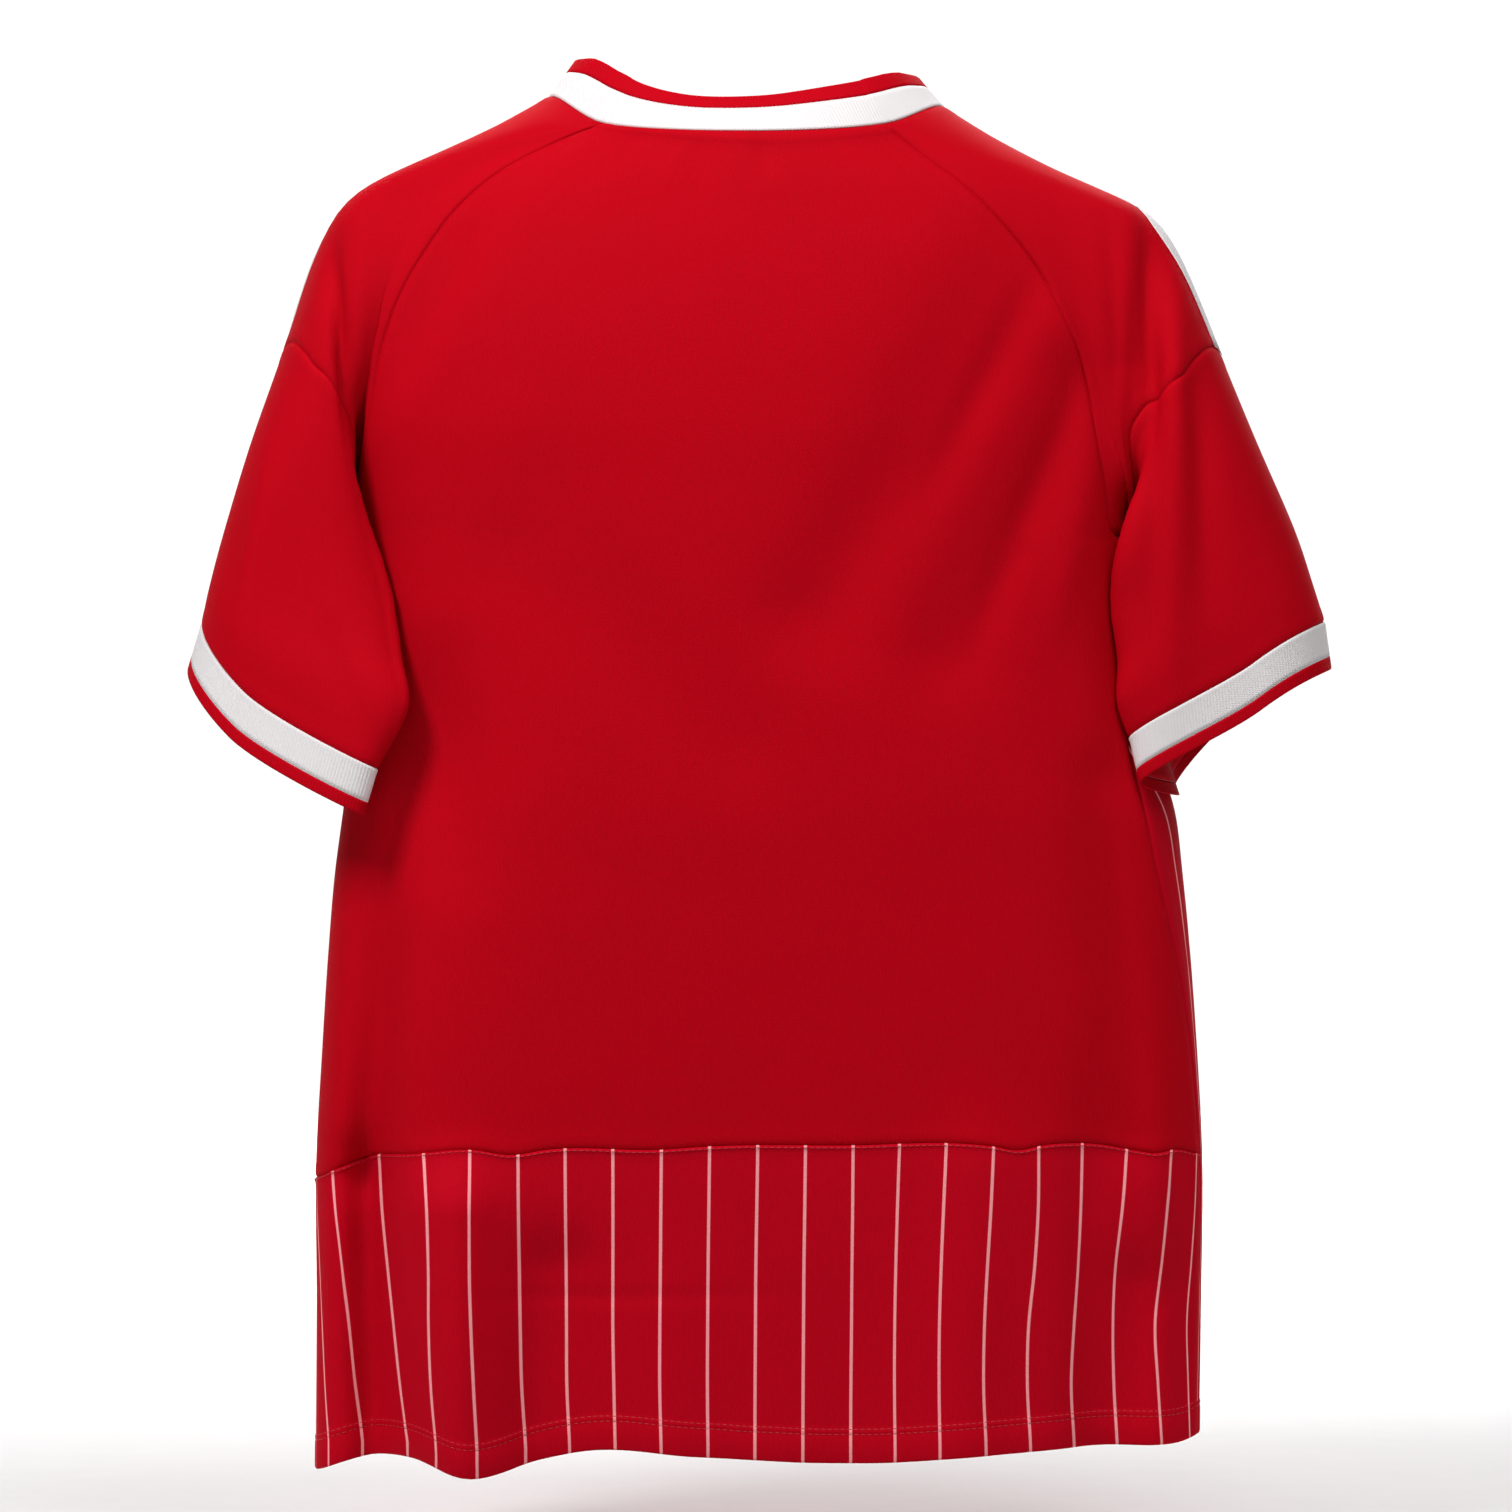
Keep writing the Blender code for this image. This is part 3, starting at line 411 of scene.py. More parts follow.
# The seam round the upper sleeve lies this share of the shoulder piece higher, from the armpit up round the
# back to the top.
SEAM_LIFTS = (0.00, 0.26, 0.44, 0.30, 0.10, 0.00, -0.02, -0.02)

CREASE_FADE = 1.2  # how gently a crease fades at its ends
CREASE_START_ROWS = 5  # rows below the armhole over which a sleeve's creases begin
FACING_GAIN = 1.6  # how soon a crease reaches its depth where the cloth turns to the back or the front

# Finer creases, seen from behind or in front: a ridge (rise above 0) or a trough along a line, which fades at
# both ends. left and right are its half widths towards the wearer's left and right.
Crease = namedtuple("Crease", "x0 z0 x1 z1 left right rise")
CREASES = {
    "back": (
        Crease(0.1800, -0.330, 0.2000, -0.640, 0.009, 0.014, -0.0105),
        Crease(0.1985, -0.500, 0.1985, -0.900, 0.009, 0.013, -0.0095),
        Crease(0.2050, -0.340, 0.2210, -0.760, 0.008, 0.007, 0.0090),
        Crease(0.1620, -0.270, 0.1500, -0.430, 0.020, 0.022, -0.0080),
        Crease(0.1700, -0.330, 0.1700, -0.860, 0.016, 0.050, 0.0080),
        Crease(0.1760, -0.520, 0.1700, -0.860, 0.010, 0.010, -0.0035),
        Crease(0.1470, -0.530, 0.1500, -0.860, 0.010, 0.012, 0.0055),
        Crease(0.1140, -0.600, 0.1130, -0.860, 0.010, 0.012, -0.0035),
        Crease(0.1230, -0.035, 0.1950, -0.175, 0.022, 0.012, -0.0055),
        Crease(0.1960, -0.250, 0.1740, -0.420, 0.012, 0.014, -0.0060),
        Crease(0.1200, -0.170, 0.0300, -0.300, 0.020, 0.030, -0.0014),
        Crease(-0.1350, -0.160, 0.0200, -0.310, 0.026, 0.020, -0.0012),
        Crease(-0.1640, -0.071, -0.0870, -0.222, 0.009, 0.012, -0.0034),
        Crease(-0.1900, -0.109, -0.1100, -0.305, 0.009, 0.011, -0.0035),
        Crease(-0.2020, -0.125, -0.1500, -0.305, 0.008, 0.009, 0.0022),
        Crease(-0.1990, -0.150, -0.1960, -0.360, 0.024, 0.006, 0.0100),
        Crease(-0.1780, -0.470, -0.1800, -0.900, 0.013, 0.028, -0.0070),
        Crease(-0.2290, -0.450, -0.2310, -0.900, 0.009, 0.005, -0.0120),
        Crease(-0.2330, -0.600, -0.2100, -0.640, 0.004, 0.006, -0.0016),
        Crease(0.0300, -0.016, 0.0180, -0.060, 0.006, 0.008, -0.0010),
        Crease(-0.0060, -0.018, -0.0120, -0.050, 0.005, 0.006, -0.0009),
        Crease(0.1780, -0.6235, -0.0450, -0.6215, 0.004, 0.004, -0.0006),
        Crease(0.0400, -0.570, 0.0340, -0.860, 0.014, 0.018, 0.0022),
        Crease(-0.0500, -0.600, -0.0540, -0.860, 0.016, 0.014, -0.0024),
        Crease(-0.1200, -0.500, -0.1160, -0.860, 0.014, 0.014, 0.0020),
    ),
    "front": (
        Crease(0.1600, -0.090, 0.0800, -0.270, 0.012, 0.020, -0.0030),
        Crease(-0.1620, -0.085, -0.0850, -0.250, 0.020, 0.012, -0.0028),
        Crease(0.1850, -0.300, 0.1780, -0.600, 0.012, 0.014, -0.0030),
        Crease(-0.1950, -0.330, -0.1800, -0.640, 0.014, 0.010, -0.0032),
        Crease(0.0700, -0.130, -0.0100, -0.260, 0.018, 0.022, -0.0016),
        Crease(-0.0800, -0.140, -0.0050, -0.300, 0.022, 0.018, -0.0018),
        Crease(0.0150, -0.480, 0.0200, -0.860, 0.016, 0.018, 0.0018),
        Crease(-0.0450, -0.560, -0.0500, -0.860, 0.014, 0.016, -0.0020),
    ),
}
SLEEVE_CREASES = {
    ("left", "back"): (
        Crease(0.1990, -0.050, 0.2000, -0.180, 0.008, 0.018, 0.0050),
        Crease(0.2060, -0.060, 0.1860, -0.290, 0.014, 0.010, -0.0020),
        Crease(0.2190, -0.058, 0.1985, -0.205, 0.005, 0.004, -0.0070),
        Crease(0.1940, -0.200, 0.1640, -0.360, 0.022, 0.014, -0.0040),
        Crease(0.2180, -0.270, 0.1950, -0.345, 0.006, 0.005, -0.0026),
        Crease(0.2450, -0.170, 0.2680, -0.310, 0.005, 0.006, 0.0018),
    ),
    ("left", "front"): (
        Crease(0.2050, -0.070, 0.1980, -0.260, 0.014, 0.010, -0.0050),
        Crease(0.2300, -0.170, 0.2250, -0.330, 0.007, 0.008, 0.0028),
    ),
    ("right", "back"): (
        Crease(-0.2130, -0.040, -0.2050, -0.218, 0.006, 0.010, -0.0100),
        Crease(-0.1890, -0.050, -0.1960, -0.190, 0.005, 0.006, -0.0025),
        Crease(-0.2030, -0.060, -0.1985, -0.212, 0.004, 0.005, -0.0040),
        Crease(-0.1960, -0.140, -0.1950, -0.264, 0.012, 0.012, 0.0090),
        Crease(-0.2230, -0.080, -0.2190, -0.340, 0.006, 0.010, 0.0045),
        Crease(-0.2290, -0.100, -0.2400, -0.280, 0.007, 0.010, -0.0034),
    ),
    ("right", "front"): (
        Crease(-0.2060, -0.070, -0.1990, -0.270, 0.010, 0.013, -0.0050),
        Crease(-0.2350, -0.180, -0.2380, -0.330, 0.008, 0.007, 0.0026),
    ),
}

# Where some pinstripes of the lower back lie at six heights, counted from the wearer's left. The others stand
# evenly between them. On the front they are a set distance apart.
StripePlace = namedtuple("StripePlace", "number seam upper high low lower hem")
STRIPE_PLACES = (
    StripePlace(0, 0.2165, 0.2143, 0.2105, 0.2070, 0.2038, 0.2000),
    StripePlace(1, 0.1912, 0.1892, 0.1860, 0.1826, 0.1793, 0.1750),
    StripePlace(2, 0.1660, 0.1638, 0.1631, 0.1633, 0.1623, 0.1597),
    StripePlace(3, 0.1419, 0.1419, 0.1419, 0.1410, 0.1397, 0.1381),
    StripePlace(4, 0.1172, 0.1170, 0.1167, 0.1163, 0.1156, 0.1136),
    StripePlace(5, 0.0930, 0.0929, 0.0928, 0.0927, 0.0926, 0.0912),
    StripePlace(6, 0.0684, 0.0684, 0.0685, 0.0686, 0.0681, 0.0675),
    StripePlace(7, 0.0434, 0.0437, 0.0440, 0.0443, 0.0444, 0.0437),
    StripePlace(9, -0.0062, -0.0057, -0.0052, -0.0050, -0.0048, -0.0047),
    StripePlace(11, -0.0553, -0.0551, -0.0548, -0.0546, -0.0544, -0.0543),
    StripePlace(12, -0.0791, -0.0781, -0.0773, -0.0768, -0.0767, -0.0771),
    StripePlace(13, -0.1031, -0.1018, -0.1006, -0.0998, -0.0997, -0.1002),
    StripePlace(14, -0.1276, -0.1262, -0.1244, -0.1230, -0.1227, -0.1241),
    StripePlace(15, -0.1511, -0.1509, -0.1491, -0.1460, -0.1455, -0.1473),
    StripePlace(16, -0.1739, -0.1733, -0.1721, -0.1701, -0.1686, -0.1703),
    StripePlace(17, -0.1975, -0.1951, -0.1917, -0.1906, -0.1913, -0.1931),
    StripePlace(18, -0.2217, -0.2193, -0.2163, -0.2129, -0.2144, -0.2166),
)
STRIPE_HEIGHTS = (-0.5461, -0.5769, -0.6077, -0.6385, -0.6694, -0.7002)

# How far the outer face stands out at each distance from a sewn edge, a hem and a free folded edge.
EdgeStep = namedtuple("EdgeStep", "distance rise")
SEAM_EDGE = (
    EdgeStep(0.0000, -0.00110),
    EdgeStep(0.0006, -0.00045),
    EdgeStep(0.0014, 0.00000),
    EdgeStep(0.0030, 0.00022),
    EdgeStep(0.0065, 0.00016),
    EdgeStep(0.0085, 0.00000),
)
PANEL_TOP_EDGE = (
    EdgeStep(0.0000, -0.00090),
    EdgeStep(0.0005, 0.00030),
    EdgeStep(0.0012, 0.00070),
    EdgeStep(0.0022, 0.00030),
    EdgeStep(0.0040, 0.00010),
    EdgeStep(0.0070, 0.00000),
)
NECK_EDGE = (
    EdgeStep(0.0000, -0.00110),
    EdgeStep(0.0006, -0.00010),
    EdgeStep(0.0014, 0.00050),
    EdgeStep(0.0060, 0.00060),
    EdgeStep(0.0074, 0.00030),
    EdgeStep(0.0090, 0.00000),
)
HEM_EDGE = (
    EdgeStep(0.0000, -0.00020),
    EdgeStep(0.0005, 0.00020),
    EdgeStep(0.0015, 0.00045),
    EdgeStep(0.0080, 0.00045),
    EdgeStep(0.0140, 0.00040),
    EdgeStep(0.0151, 0.00010),
    EdgeStep(0.0162, 0.00040),
    EdgeStep(0.0170, 0.00040),
    EdgeStep(0.0178, 0.00000),
    EdgeStep(0.0200, 0.00000),
)
RIB_SEAM_EDGE = (
    EdgeStep(0.0000, -0.00060),
    EdgeStep(0.0005, -0.00010),
    EdgeStep(0.0012, 0.00010),
    EdgeStep(0.0022, 0.00000),
)
RIB_FREE_EDGE = (
    EdgeStep(0.0000, -0.00045),
    EdgeStep(0.0004, -0.00010),
    EdgeStep(0.0010, 0.00000),
)
PLAIN_EDGE = (EdgeStep(0.0000, 0.0),)
EDGE_SHARE = 0.3  # the most of a piece that one of its edges takes up
LEAST_EDGE = 1e-6
LEAST_LENGTH = 1e-12

# Finishes of the cloth: its colour, the pitch of its wales and courses, how far they stand out, its sheen,
# how uneven the dye is, which is also how deep the painted shade in the knit's hollows is, and whether it is
# pinstriped.
Finish = namedtuple("Finish", "colour wale course relief sheen variation striped")
FINISHES = {
    "red_knit": Finish("red", 0.0009, 0.0007, 0.00020, 0.06, 0.10, False),
    "pinstriped_knit": Finish("crimson", 0.0009, 0.0007, 0.00020, 0.06, 0.10, True),
    "white_rib": Finish("white", 0.0018, 0.0009, 0.00045, 0.05, 0.06, False),
    "red_rib": Finish("red", 0.0018, 0.0009, 0.00045, 0.06, 0.10, False),
    "white_tape": Finish("white", 0.0006, 0.0006, 0.00020, 0.05, 0.05, False),
}
COURSE_LEAN = 0.5  # how far the stitches of a wale lean up to either side, in courses
COURSE_SHARE = 0.45  # of a stitch's height; its wale has the rest
FUZZ_SCALE = 1400.0  # of the noise that stands for loose fibres
FUZZ_SHARE = 0.3
DYE_SCALE = 16.0  # of the noise in the dye and in the roughness
BUMP_STRENGTH = 0.5
ROUGHNESS = (0.62, 0.78)
SPECULAR = 0.03
SHEEN_ROUGHNESS = 0.45
THREAD_SCALE = 2500.0
THREAD_SHADE = 0.75  # share of the thread's colour left in the painted shade that stands for the gaps between its plies
THREAD_ROUGHNESS = 0.5
FLOOR_GRAIN = 30.0
FLOOR_TONES = (0.54, 0.57)
FLOOR_ROUGHNESS = 0.9
SURROUND_TURN = (-0.97, -0.6)  # where the surround begins and ends to dim: -1 is straight ahead of the front

# The sockets of a colour mix.
MIX_FACTOR = 0
MIX_FIRST = 6
MIX_SECOND = 7
MIX_RESULT = 2


def unit(vectors):
    """The vectors, each brought to a length of 1."""
    return vectors / np.maximum(np.linalg.norm(vectors, axis=-1, keepdims=True), LEAST_LENGTH)


def column(rows, name):
    """One column of a table."""
    return np.array([getattr(row, name) for row in rows])


def fading(share):
    """1 where the share is 0, falling smoothly to 0 where it is 1."""
    return 0.5 + 0.5 * np.cos(np.pi * np.clip(share, 0.0, 1.0))


def curve_weights(t):
    """What the start, the end and the slopes at both count for in a smooth curve, at each share t of it."""
    return 2 * t**3 - 3 * t**2 + 1, 3 * t**2 - 2 * t**3, t**3 - 2 * t**2 + t, t**3 - t**2


def smooth_through(knots, values, at):
    """A smooth curve through the values at the knots, read at each place."""
    order = np.argsort(knots)
    knots = np.asarray(knots, float)[order]
    values = np.asarray(values, float)[order]
    slopes = np.gradient(values, knots)
    at = np.clip(at, knots[0], knots[-1])
    i = np.clip(np.searchsorted(knots, at, side="right") - 1, 0, len(knots) - 2)
    step = knots[i + 1] - knots[i]
    start, end, leave, arrive = curve_weights((at - knots[i]) / step)
    line = start * values[i] + end * values[i + 1]
    return line + step * (leave * slopes[i] + arrive * slopes[i + 1])


def read_rows(rows, key, name, at):
    """One column of a table, read along a smooth curve where another column has the values at."""
    return smooth_through(column(rows, key), column(rows, name), at)


def body_folds(which, x, z):
    """How far the folds move the cloth out at each point."""
    total = np.zeros_like(x)
    for fold in BODY_FOLDS[which]:
        run_x, run_z = fold.x1 - fold.x0, fold.z1 - fold.z0
        along = ((x - fold.x0) * run_x + (z - fold.z0) * run_z) / (run_x**2 + run_z**2)
        along = np.clip(along, 0.0, 1.0)
        away = np.hypot(x - fold.x0 - along * run_x, z - fold.z0 - along * run_z)
        total += fold.rise * np.exp(-((away / fold.width) ** 2))
    return total


def creased(rows, x, z):
    """How far a list of creases moves the cloth out at each point."""
    total = np.zeros_like(x)
    for row in rows:
        run_x, run_z = row.x1 - row.x0, row.z1 - row.z0
        length = np.hypot(run_x, run_z)
        along = ((x - row.x0) * run_x + (z - row.z0) * run_z) / length**2
        across = ((x - row.x0) * run_z - (z - row.z0) * run_x) / length
        across = np.where(run_z > 0, across, -across)
        width = np.where(across > 0, row.left, row.right)
        ends = np.sin(np.pi * np.clip(along, 0.0, 1.0)) ** CREASE_FADE
        total += row.rise * ends * np.exp(-((across / width) ** 2))
    return total


def body_point(turn, height, folded=True):
    """A point of the body's middle surface. The turn is 0 at the left side and 90 degrees at the back."""
    turn, height = np.broadcast_arrays(np.radians(turn), np.asarray(height, float))
    cosine, sine = np.cos(turn), np.sin(turn)
    power = 2.0 / read_rows(BODY, "height", "square", height)
    left = read_rows(BODY, "height", "left", height)
    right = read_rows(BODY, "height", "right", height)
    back = read_rows(BODY, "height", "back", height)
    front = read_rows(BODY, "height", "front", height)
    x = np.sign(cosine) * np.abs(cosine) ** power * np.where(cosine > 0, left, right)
    y = np.sign(sine) * np.abs(sine) ** power * np.where(sine > 0, back, front)
    if folded:
        facing = np.clip(np.abs(sine) * FACING_GAIN, 0.0, 1.0) ** 2
        back_rise = (body_folds("back", x, height) + creased(CREASES["back"], x, height)) * facing
        front_rise = (body_folds("front", x, height) + creased(CREASES["front"], x, height)) * facing
        y = y + np.where(sine > 0, back_rise, -front_rise)
    return np.stack([x, y, height], axis=-1)


def evenly(points_of, count):
    """Shares from 0 to 1 that cut the curve points_of(share) into steps of equal length."""
    share = np.linspace(0.0, 1.0, FINE)
    steps = np.linalg.norm(np.diff(points_of(share), axis=0), axis=1)
    along = np.concatenate([[0.0], np.cumsum(steps)])
    return np.interp(np.linspace(0.0, along[-1], count + 1), along, share)


def full_turn(side, turn):
    """The body's turn of a seam whose own turn is measured from its side."""
    return turn if side == "left" else 180.0 - turn


def raglan_edge(side, which):
    """Heights and turns up one raglan seam, from the underarm to the neck, in equal steps."""
    seam = RAGLAN[(side, which)]
    knots = np.linspace(1.0, 0.0, len(seam))

    def place(share):
        height = smooth_through(knots, column(seam, "height"), share)
        turn = smooth_through(knots, column(seam, "turn"), share)
        return height, full_turn(side, turn)

    def points_of(share):
        height, turn = place(share)
        return body_point(turn, height, folded=False)

    return place(evenly(points_of, CHEST_ROWS))


def panel_edge(side, which):
    """Heights and turns up one edge of the front or the back, from the hem to the neck."""
    end = -1 if side == "left" else 0
    hem, seam = HEM["back"][end].height, LOWER_BACK_SEAM[end].height
    underarm = RAGLAN[(side, "back")][-1].height
    to_seam = np.linspace(hem, seam, HEM_ROWS + 1)
    to_underarm = np.linspace(seam, underarm, WAIST_ROWS + 1)
    heights = np.concatenate([to_seam, to_underarm[1:]])
    turns = full_turn(side, read_rows(SIDE_SEAMS, "height", side, heights))
    raglan_heights, raglan_turns = raglan_edge(side, which)
    return np.concatenate([heights, raglan_heights[1:]]), np.concatenate([turns, raglan_turns[1:]])


def row_sag(which, row, share, x):
    """How far a row of the panel hangs below or above the straight line between its two ends."""
    rows_below = HEM_ROWS + WAIST_ROWS

    def off_line(table):
        line = table[0].height + (table[-1].height - table[0].height) * share
        return read_rows(table, "x", "height", x) - line

    if row <= HEM_ROWS:
        part = row / HEM_ROWS
        return (1.0 - part) * off_line(HEM[which]) + part * off_line(LOWER_BACK_SEAM)
    if row <= rows_below:
        return (1.0 - (row - HEM_ROWS) / WAIST_ROWS) * off_line(LOWER_BACK_SEAM)
    part = (row - rows_below) / CHEST_ROWS
    return NECK_DIP[which] * part**2 * 4.0 * share * (1.0 - share)


def panel(which):
    """The middle surface of the whole back or front, hem to neck, with its columns running round the body."""
    starts, ends = ("right", "left") if which == "back" else ("left", "right")
    count = BACK_COLUMNS if which == "back" else FRONT_COLUMNS
    start_heights, start_turns = panel_edge(starts, which)
    end_heights, end_turns = panel_edge(ends, which)
    if which == "front":
        end_turns = end_turns - 360.0
    rows = []
    for row in range(len(start_heights)):

        def place(share, row=row):
            height = start_heights[row] + (end_heights[row] - start_heights[row]) * share
            leftwards = share if which == "back" else 1.0 - share
            turn = start_turns[row] + (end_turns[row] - start_turns[row]) * share
            x = body_point(turn, height, folded=False)[..., 0]
            return turn, height + row_sag(which, row, leftwards, x)

        share = evenly(lambda at: body_point(*place(at), folded=False), count)
        rows.append(body_point(*place(share)))
    return np.array(rows)


def hermite(start, start_way, end, end_way, share):
    """A curve from start to end that leaves and arrives along the two ways."""
    from_start, from_end, leave, arrive = curve_weights(share[:, None])
    size = np.linalg.norm(end - start)
    return from_start * start + from_end * end + size * (leave * start_way + arrive * end_way)


def over_shoulder(name):
    """One column of the table of places over the shoulder, read at every column of the mesh."""
    knots = np.linspace(0.0, 1.0, len(OVER))
    return smooth_through(knots, column(OVER, name), np.linspace(0.0, 1.0, NECK_COLUMNS + 1))


def neck_arc(side, back_corner, back_way, front_corner, front_way):
    """Points over one shoulder at the neck, from the back corner over the neck point to the front corner."""
    top = np.array(NECK_POINTS[side])
    over = unit(front_corner - back_corner)

    def points_of(share):
        back_part = hermite(back_corner, back_way, top, over, np.clip(share * 2, 0, 1))
        front_part = hermite(top, over, front_corner, front_way, np.clip(share * 2 - 1, 0, 1))
        return np.where(share[:, None] < 0.5, back_part, front_part)

    shares = evenly(points_of, FINE)
    return points_of(np.interp(over_shoulder("share"), np.linspace(0.0, 1.0, FINE + 1), shares))


def surface_normals(points, closed=False):
    """Unit normals of a grid: the way along its rows crossed with the way up its columns."""
    if closed:
        along = np.roll(points, -1, axis=1) - np.roll(points, 1, axis=1)
    else:
        along = np.gradient(points, axis=1)
    return unit(np.cross(along, np.gradient(points, axis=0)))


def outwards(side):
    """What to multiply by so that x points away from the middle of the body, and to turn that back."""
    return np.array([1.0 if side == "left" else -1.0, 1.0, 1.0])


def armhole(side, panels):
    """The loop that a shoulder piece starts from, and the body's outward normals along it.

    It runs up the back seam, over the neck and down the front seam. Here, as in a sleeve, x points outwards.
    """
    seams, normals, ways = {}, {}, {}
    for which, points in panels.items():
        at_end = (which == "back") == (side == "left")
        edge, beside = (-1, -1 - FINER) if at_end else (0, FINER)
        rows = slice(HEM_ROWS + WAIST_ROWS, None)
        seams[which] = points[rows, edge] * outwards(side)
        normals[which] = body_normals(points)[rows, edge] * outwards(side)
        ways[which] = unit(points[-1, edge] - points[-1, beside]) * outwards(side)
    arc = neck_arc(side, seams["back"][-1], ways["back"], seams["front"][-1], -ways["front"])
    share = over_shoulder("share")[:, None]
    over = 4 * share * (1 - share) * unit(np.array(SHOULDER_SLOPE))
    over = over + (1 - share) ** 2 * normals["back"][-1] + share**2 * normals["front"][-1]
    down, down_normals = seams["front"][-2:0:-1], normals["front"][-2:0:-1]
    loop = np.concatenate([seams["back"], arc[1:], down])
    return loop, unit(np.concatenate([normals["back"], over[1:], down_normals]))


def body_normals(points, closed=False):
    """Outward normals of the back, the front or the collar, whose columns run the other way round."""
    return -surface_normals(points, closed)


def sleeve_turns():
    """The turn of each column of a sleeve: up the back, across below the neck, and down the front."""
    over = over_shoulder("turn")
    back = np.linspace(ARMPIT_TURN, over[0], CHEST_ROWS + 1)
    front = np.linspace(over[-1], ARMPIT_TURN - 360.0, CHEST_ROWS + 1)
    return np.concatenate([back, over[1:], front[1:-1]])


def sleeve_ring(side, place):
    """A ring of the sleeve at a place along it, from 0 at its upper seam to 1 at the cuff."""
    rows = SLEEVES[side]
    knots = np.linspace(0.0, 1.0, len(rows))
    size = {name: smooth_through(knots, column(rows, name), place) for name in Section._fields}
    outer, inner, back, fold = (
        np.array([size[f"{part}_{axis}"] for axis in "xyz"]) for part in ("outer", "inner", "back", "fold")
    )
    turns = sleeve_turns()
    angle = np.radians(turns)[:, None]
    ring = (outer + inner) / 2 + (outer - inner) / 2 * np.cos(angle) + back * np.sin(angle)
    ring = ring + np.array([0.0, 0.0, size["arch"]]) * np.sin(angle) ** 2
    away = (turns - SLEEVE_FOLD_TURN[side] + 180.0) % 360.0 - 180.0
    away = np.where(away < 0, -away / SLEEVE_FOLD_REACH[0], away / SLEEVE_FOLD_REACH[1])
    share = np.cos(np.radians(90.0) * np.clip(away, 0.0, 1.0)) ** 2
    return ring + fold * share[:, None]


def off_body(side, points, amount):
    """The points, x outwards, pushed out of the body's section so that they lie against it, not inside it."""
    x, y, height = points[..., 0], points[..., 1], points[..., 2]
    power = read_rows(BODY, "height", "square", height)
    wide = read_rows(BODY, "height", side, height)
    deep = read_rows(BODY, "height", "back", height)
    deep = np.where(y > 0, deep, read_rows(BODY, "height", "front", height))
    radius = ((np.abs(x) / wide) ** power + (np.abs(y) / deep) ** power) ** (1 / power)
    short = radius - 1.0 - BODY_CLEARANCE / np.hypot(x, y)
    wanted = radius - short + 0.5 * (short + np.hypot(short, BODY_EASING))
    scale = 1.0 + (wanted / radius - 1.0) * amount
    return np.stack([x * scale, y * scale, height], axis=-1)


def sleeve_tube(side, panels):
    """Rings of one whole sleeve, x outwards: the shoulder piece, the sleeve, and the cuff's two bands."""
    loop, loop_normals = armhole(side, panels)
    places = np.linspace(0.0, 1.0, SLEEVE_ROWS + 1)
    sleeve = np.array([sleeve_ring(side, place) for place in places])
    sleeve = off_body(side, sleeve, np.clip(places * CLEAR_RATE, 0.0, 1.0)[:, None])
    shoulder = shoulder_rings(loop, loop_normals, sleeve)
    down = unit(np.array(CUFF_WAY[side]))
    cuff = [sleeve[-1] + down * depth for depth in band_depths(BAND_WHITE, BAND_RED)[1:]]
    return np.concatenate([shoulder, sleeve[1:], off_body(side, np.array(cuff), 1.0)])


def shoulder_rings(loop, loop_normals, sleeve):
    """Rings of the shoulder piece, from the armhole's loop to the sleeve's first ring."""
    steps = np.arange(len(loop))
    top_column = CHEST_ROWS + NECK_COLUMNS // 2
    from_armpit = np.minimum(steps, len(loop) - steps)[:, None]
    from_top = np.clip(np.abs(steps - CHEST_ROWS - NECK_COLUMNS / 2)[:, None] - NECK_COLUMNS / 2, 0.0, None)
    armpit = fading(from_armpit / ARMPIT_COLUMNS)
    top = fading(from_top / TOP_COLUMNS)
    near_top = fading(np.abs(steps - top_column) / top_column)[:, None]
    # Columns leave the seam in the body's own surface: towards the sleeve, but upwards at the armpit.
    along = unit(np.roll(loop, -FINER, axis=0) - np.roll(loop, FINER, axis=0))
    off_seam = unit(np.cross(loop_normals, along))
    away = sleeve[0] - loop
    reach = np.linalg.norm(away, axis=1, keepdims=True)
    sideways = (away * off_seam).sum(axis=1, keepdims=True)
    lengthways = (away * along).sum(axis=1, keepdims=True)
    straight = unit(np.maximum(sideways, LEAST_SPREAD * reach) * off_seam + lengthways * along)
    leave = unit(armpit * off_seam + (1.0 - armpit) * straight)
    arrive = unit(sleeve[FINER] - sleeve[0])
    first = np.maximum((SIDE_PULL[0] * (1 - top) + TOP_PULL[0] * top) * reach, ARMPIT_PULL[0])
    second = np.maximum((SIDE_PULL[1] * (1 - top) + TOP_PULL[1] * top) * reach, ARMPIT_PULL[1])
    corners = (loop, loop + leave * first, sleeve[0] - arrive * second, sleeve[0])
    rings = []
    for t in np.linspace(0.0, 1.0, SHOULDER_ROWS + 1):
        weights = ((1 - t) ** 3, 3 * t * (1 - t) ** 2, 3 * t**2 * (1 - t), t**3)
        ring = sum(weight * corner for weight, corner in zip(weights, corners))
        ease = min(0.5, t * EASE_IN, (1.0 - t) * EASE_IN)
        ridge = ring[top_column]
        for _ in range(EASE):
            beside = (np.roll(ring, 1, axis=0) + np.roll(ring, -1, axis=0)) / 2
            ring = ring + (beside - ring) * ease
        # Evening out lowers the top of the shoulder, so the ring is drawn back up to it.
        rings.append(ring + (ridge - ring[top_column]) * near_top)
    return rings


def band_depths(white, red):
    """How far each row of a collar or cuff lies from its seam: the white band's rows, then the red edge's."""
    first = np.linspace(0.0, white, BAND_ROWS + 1)
    return np.concatenate([first, white + np.linspace(0.0, red, EDGE_ROWS + 1)[1:]])


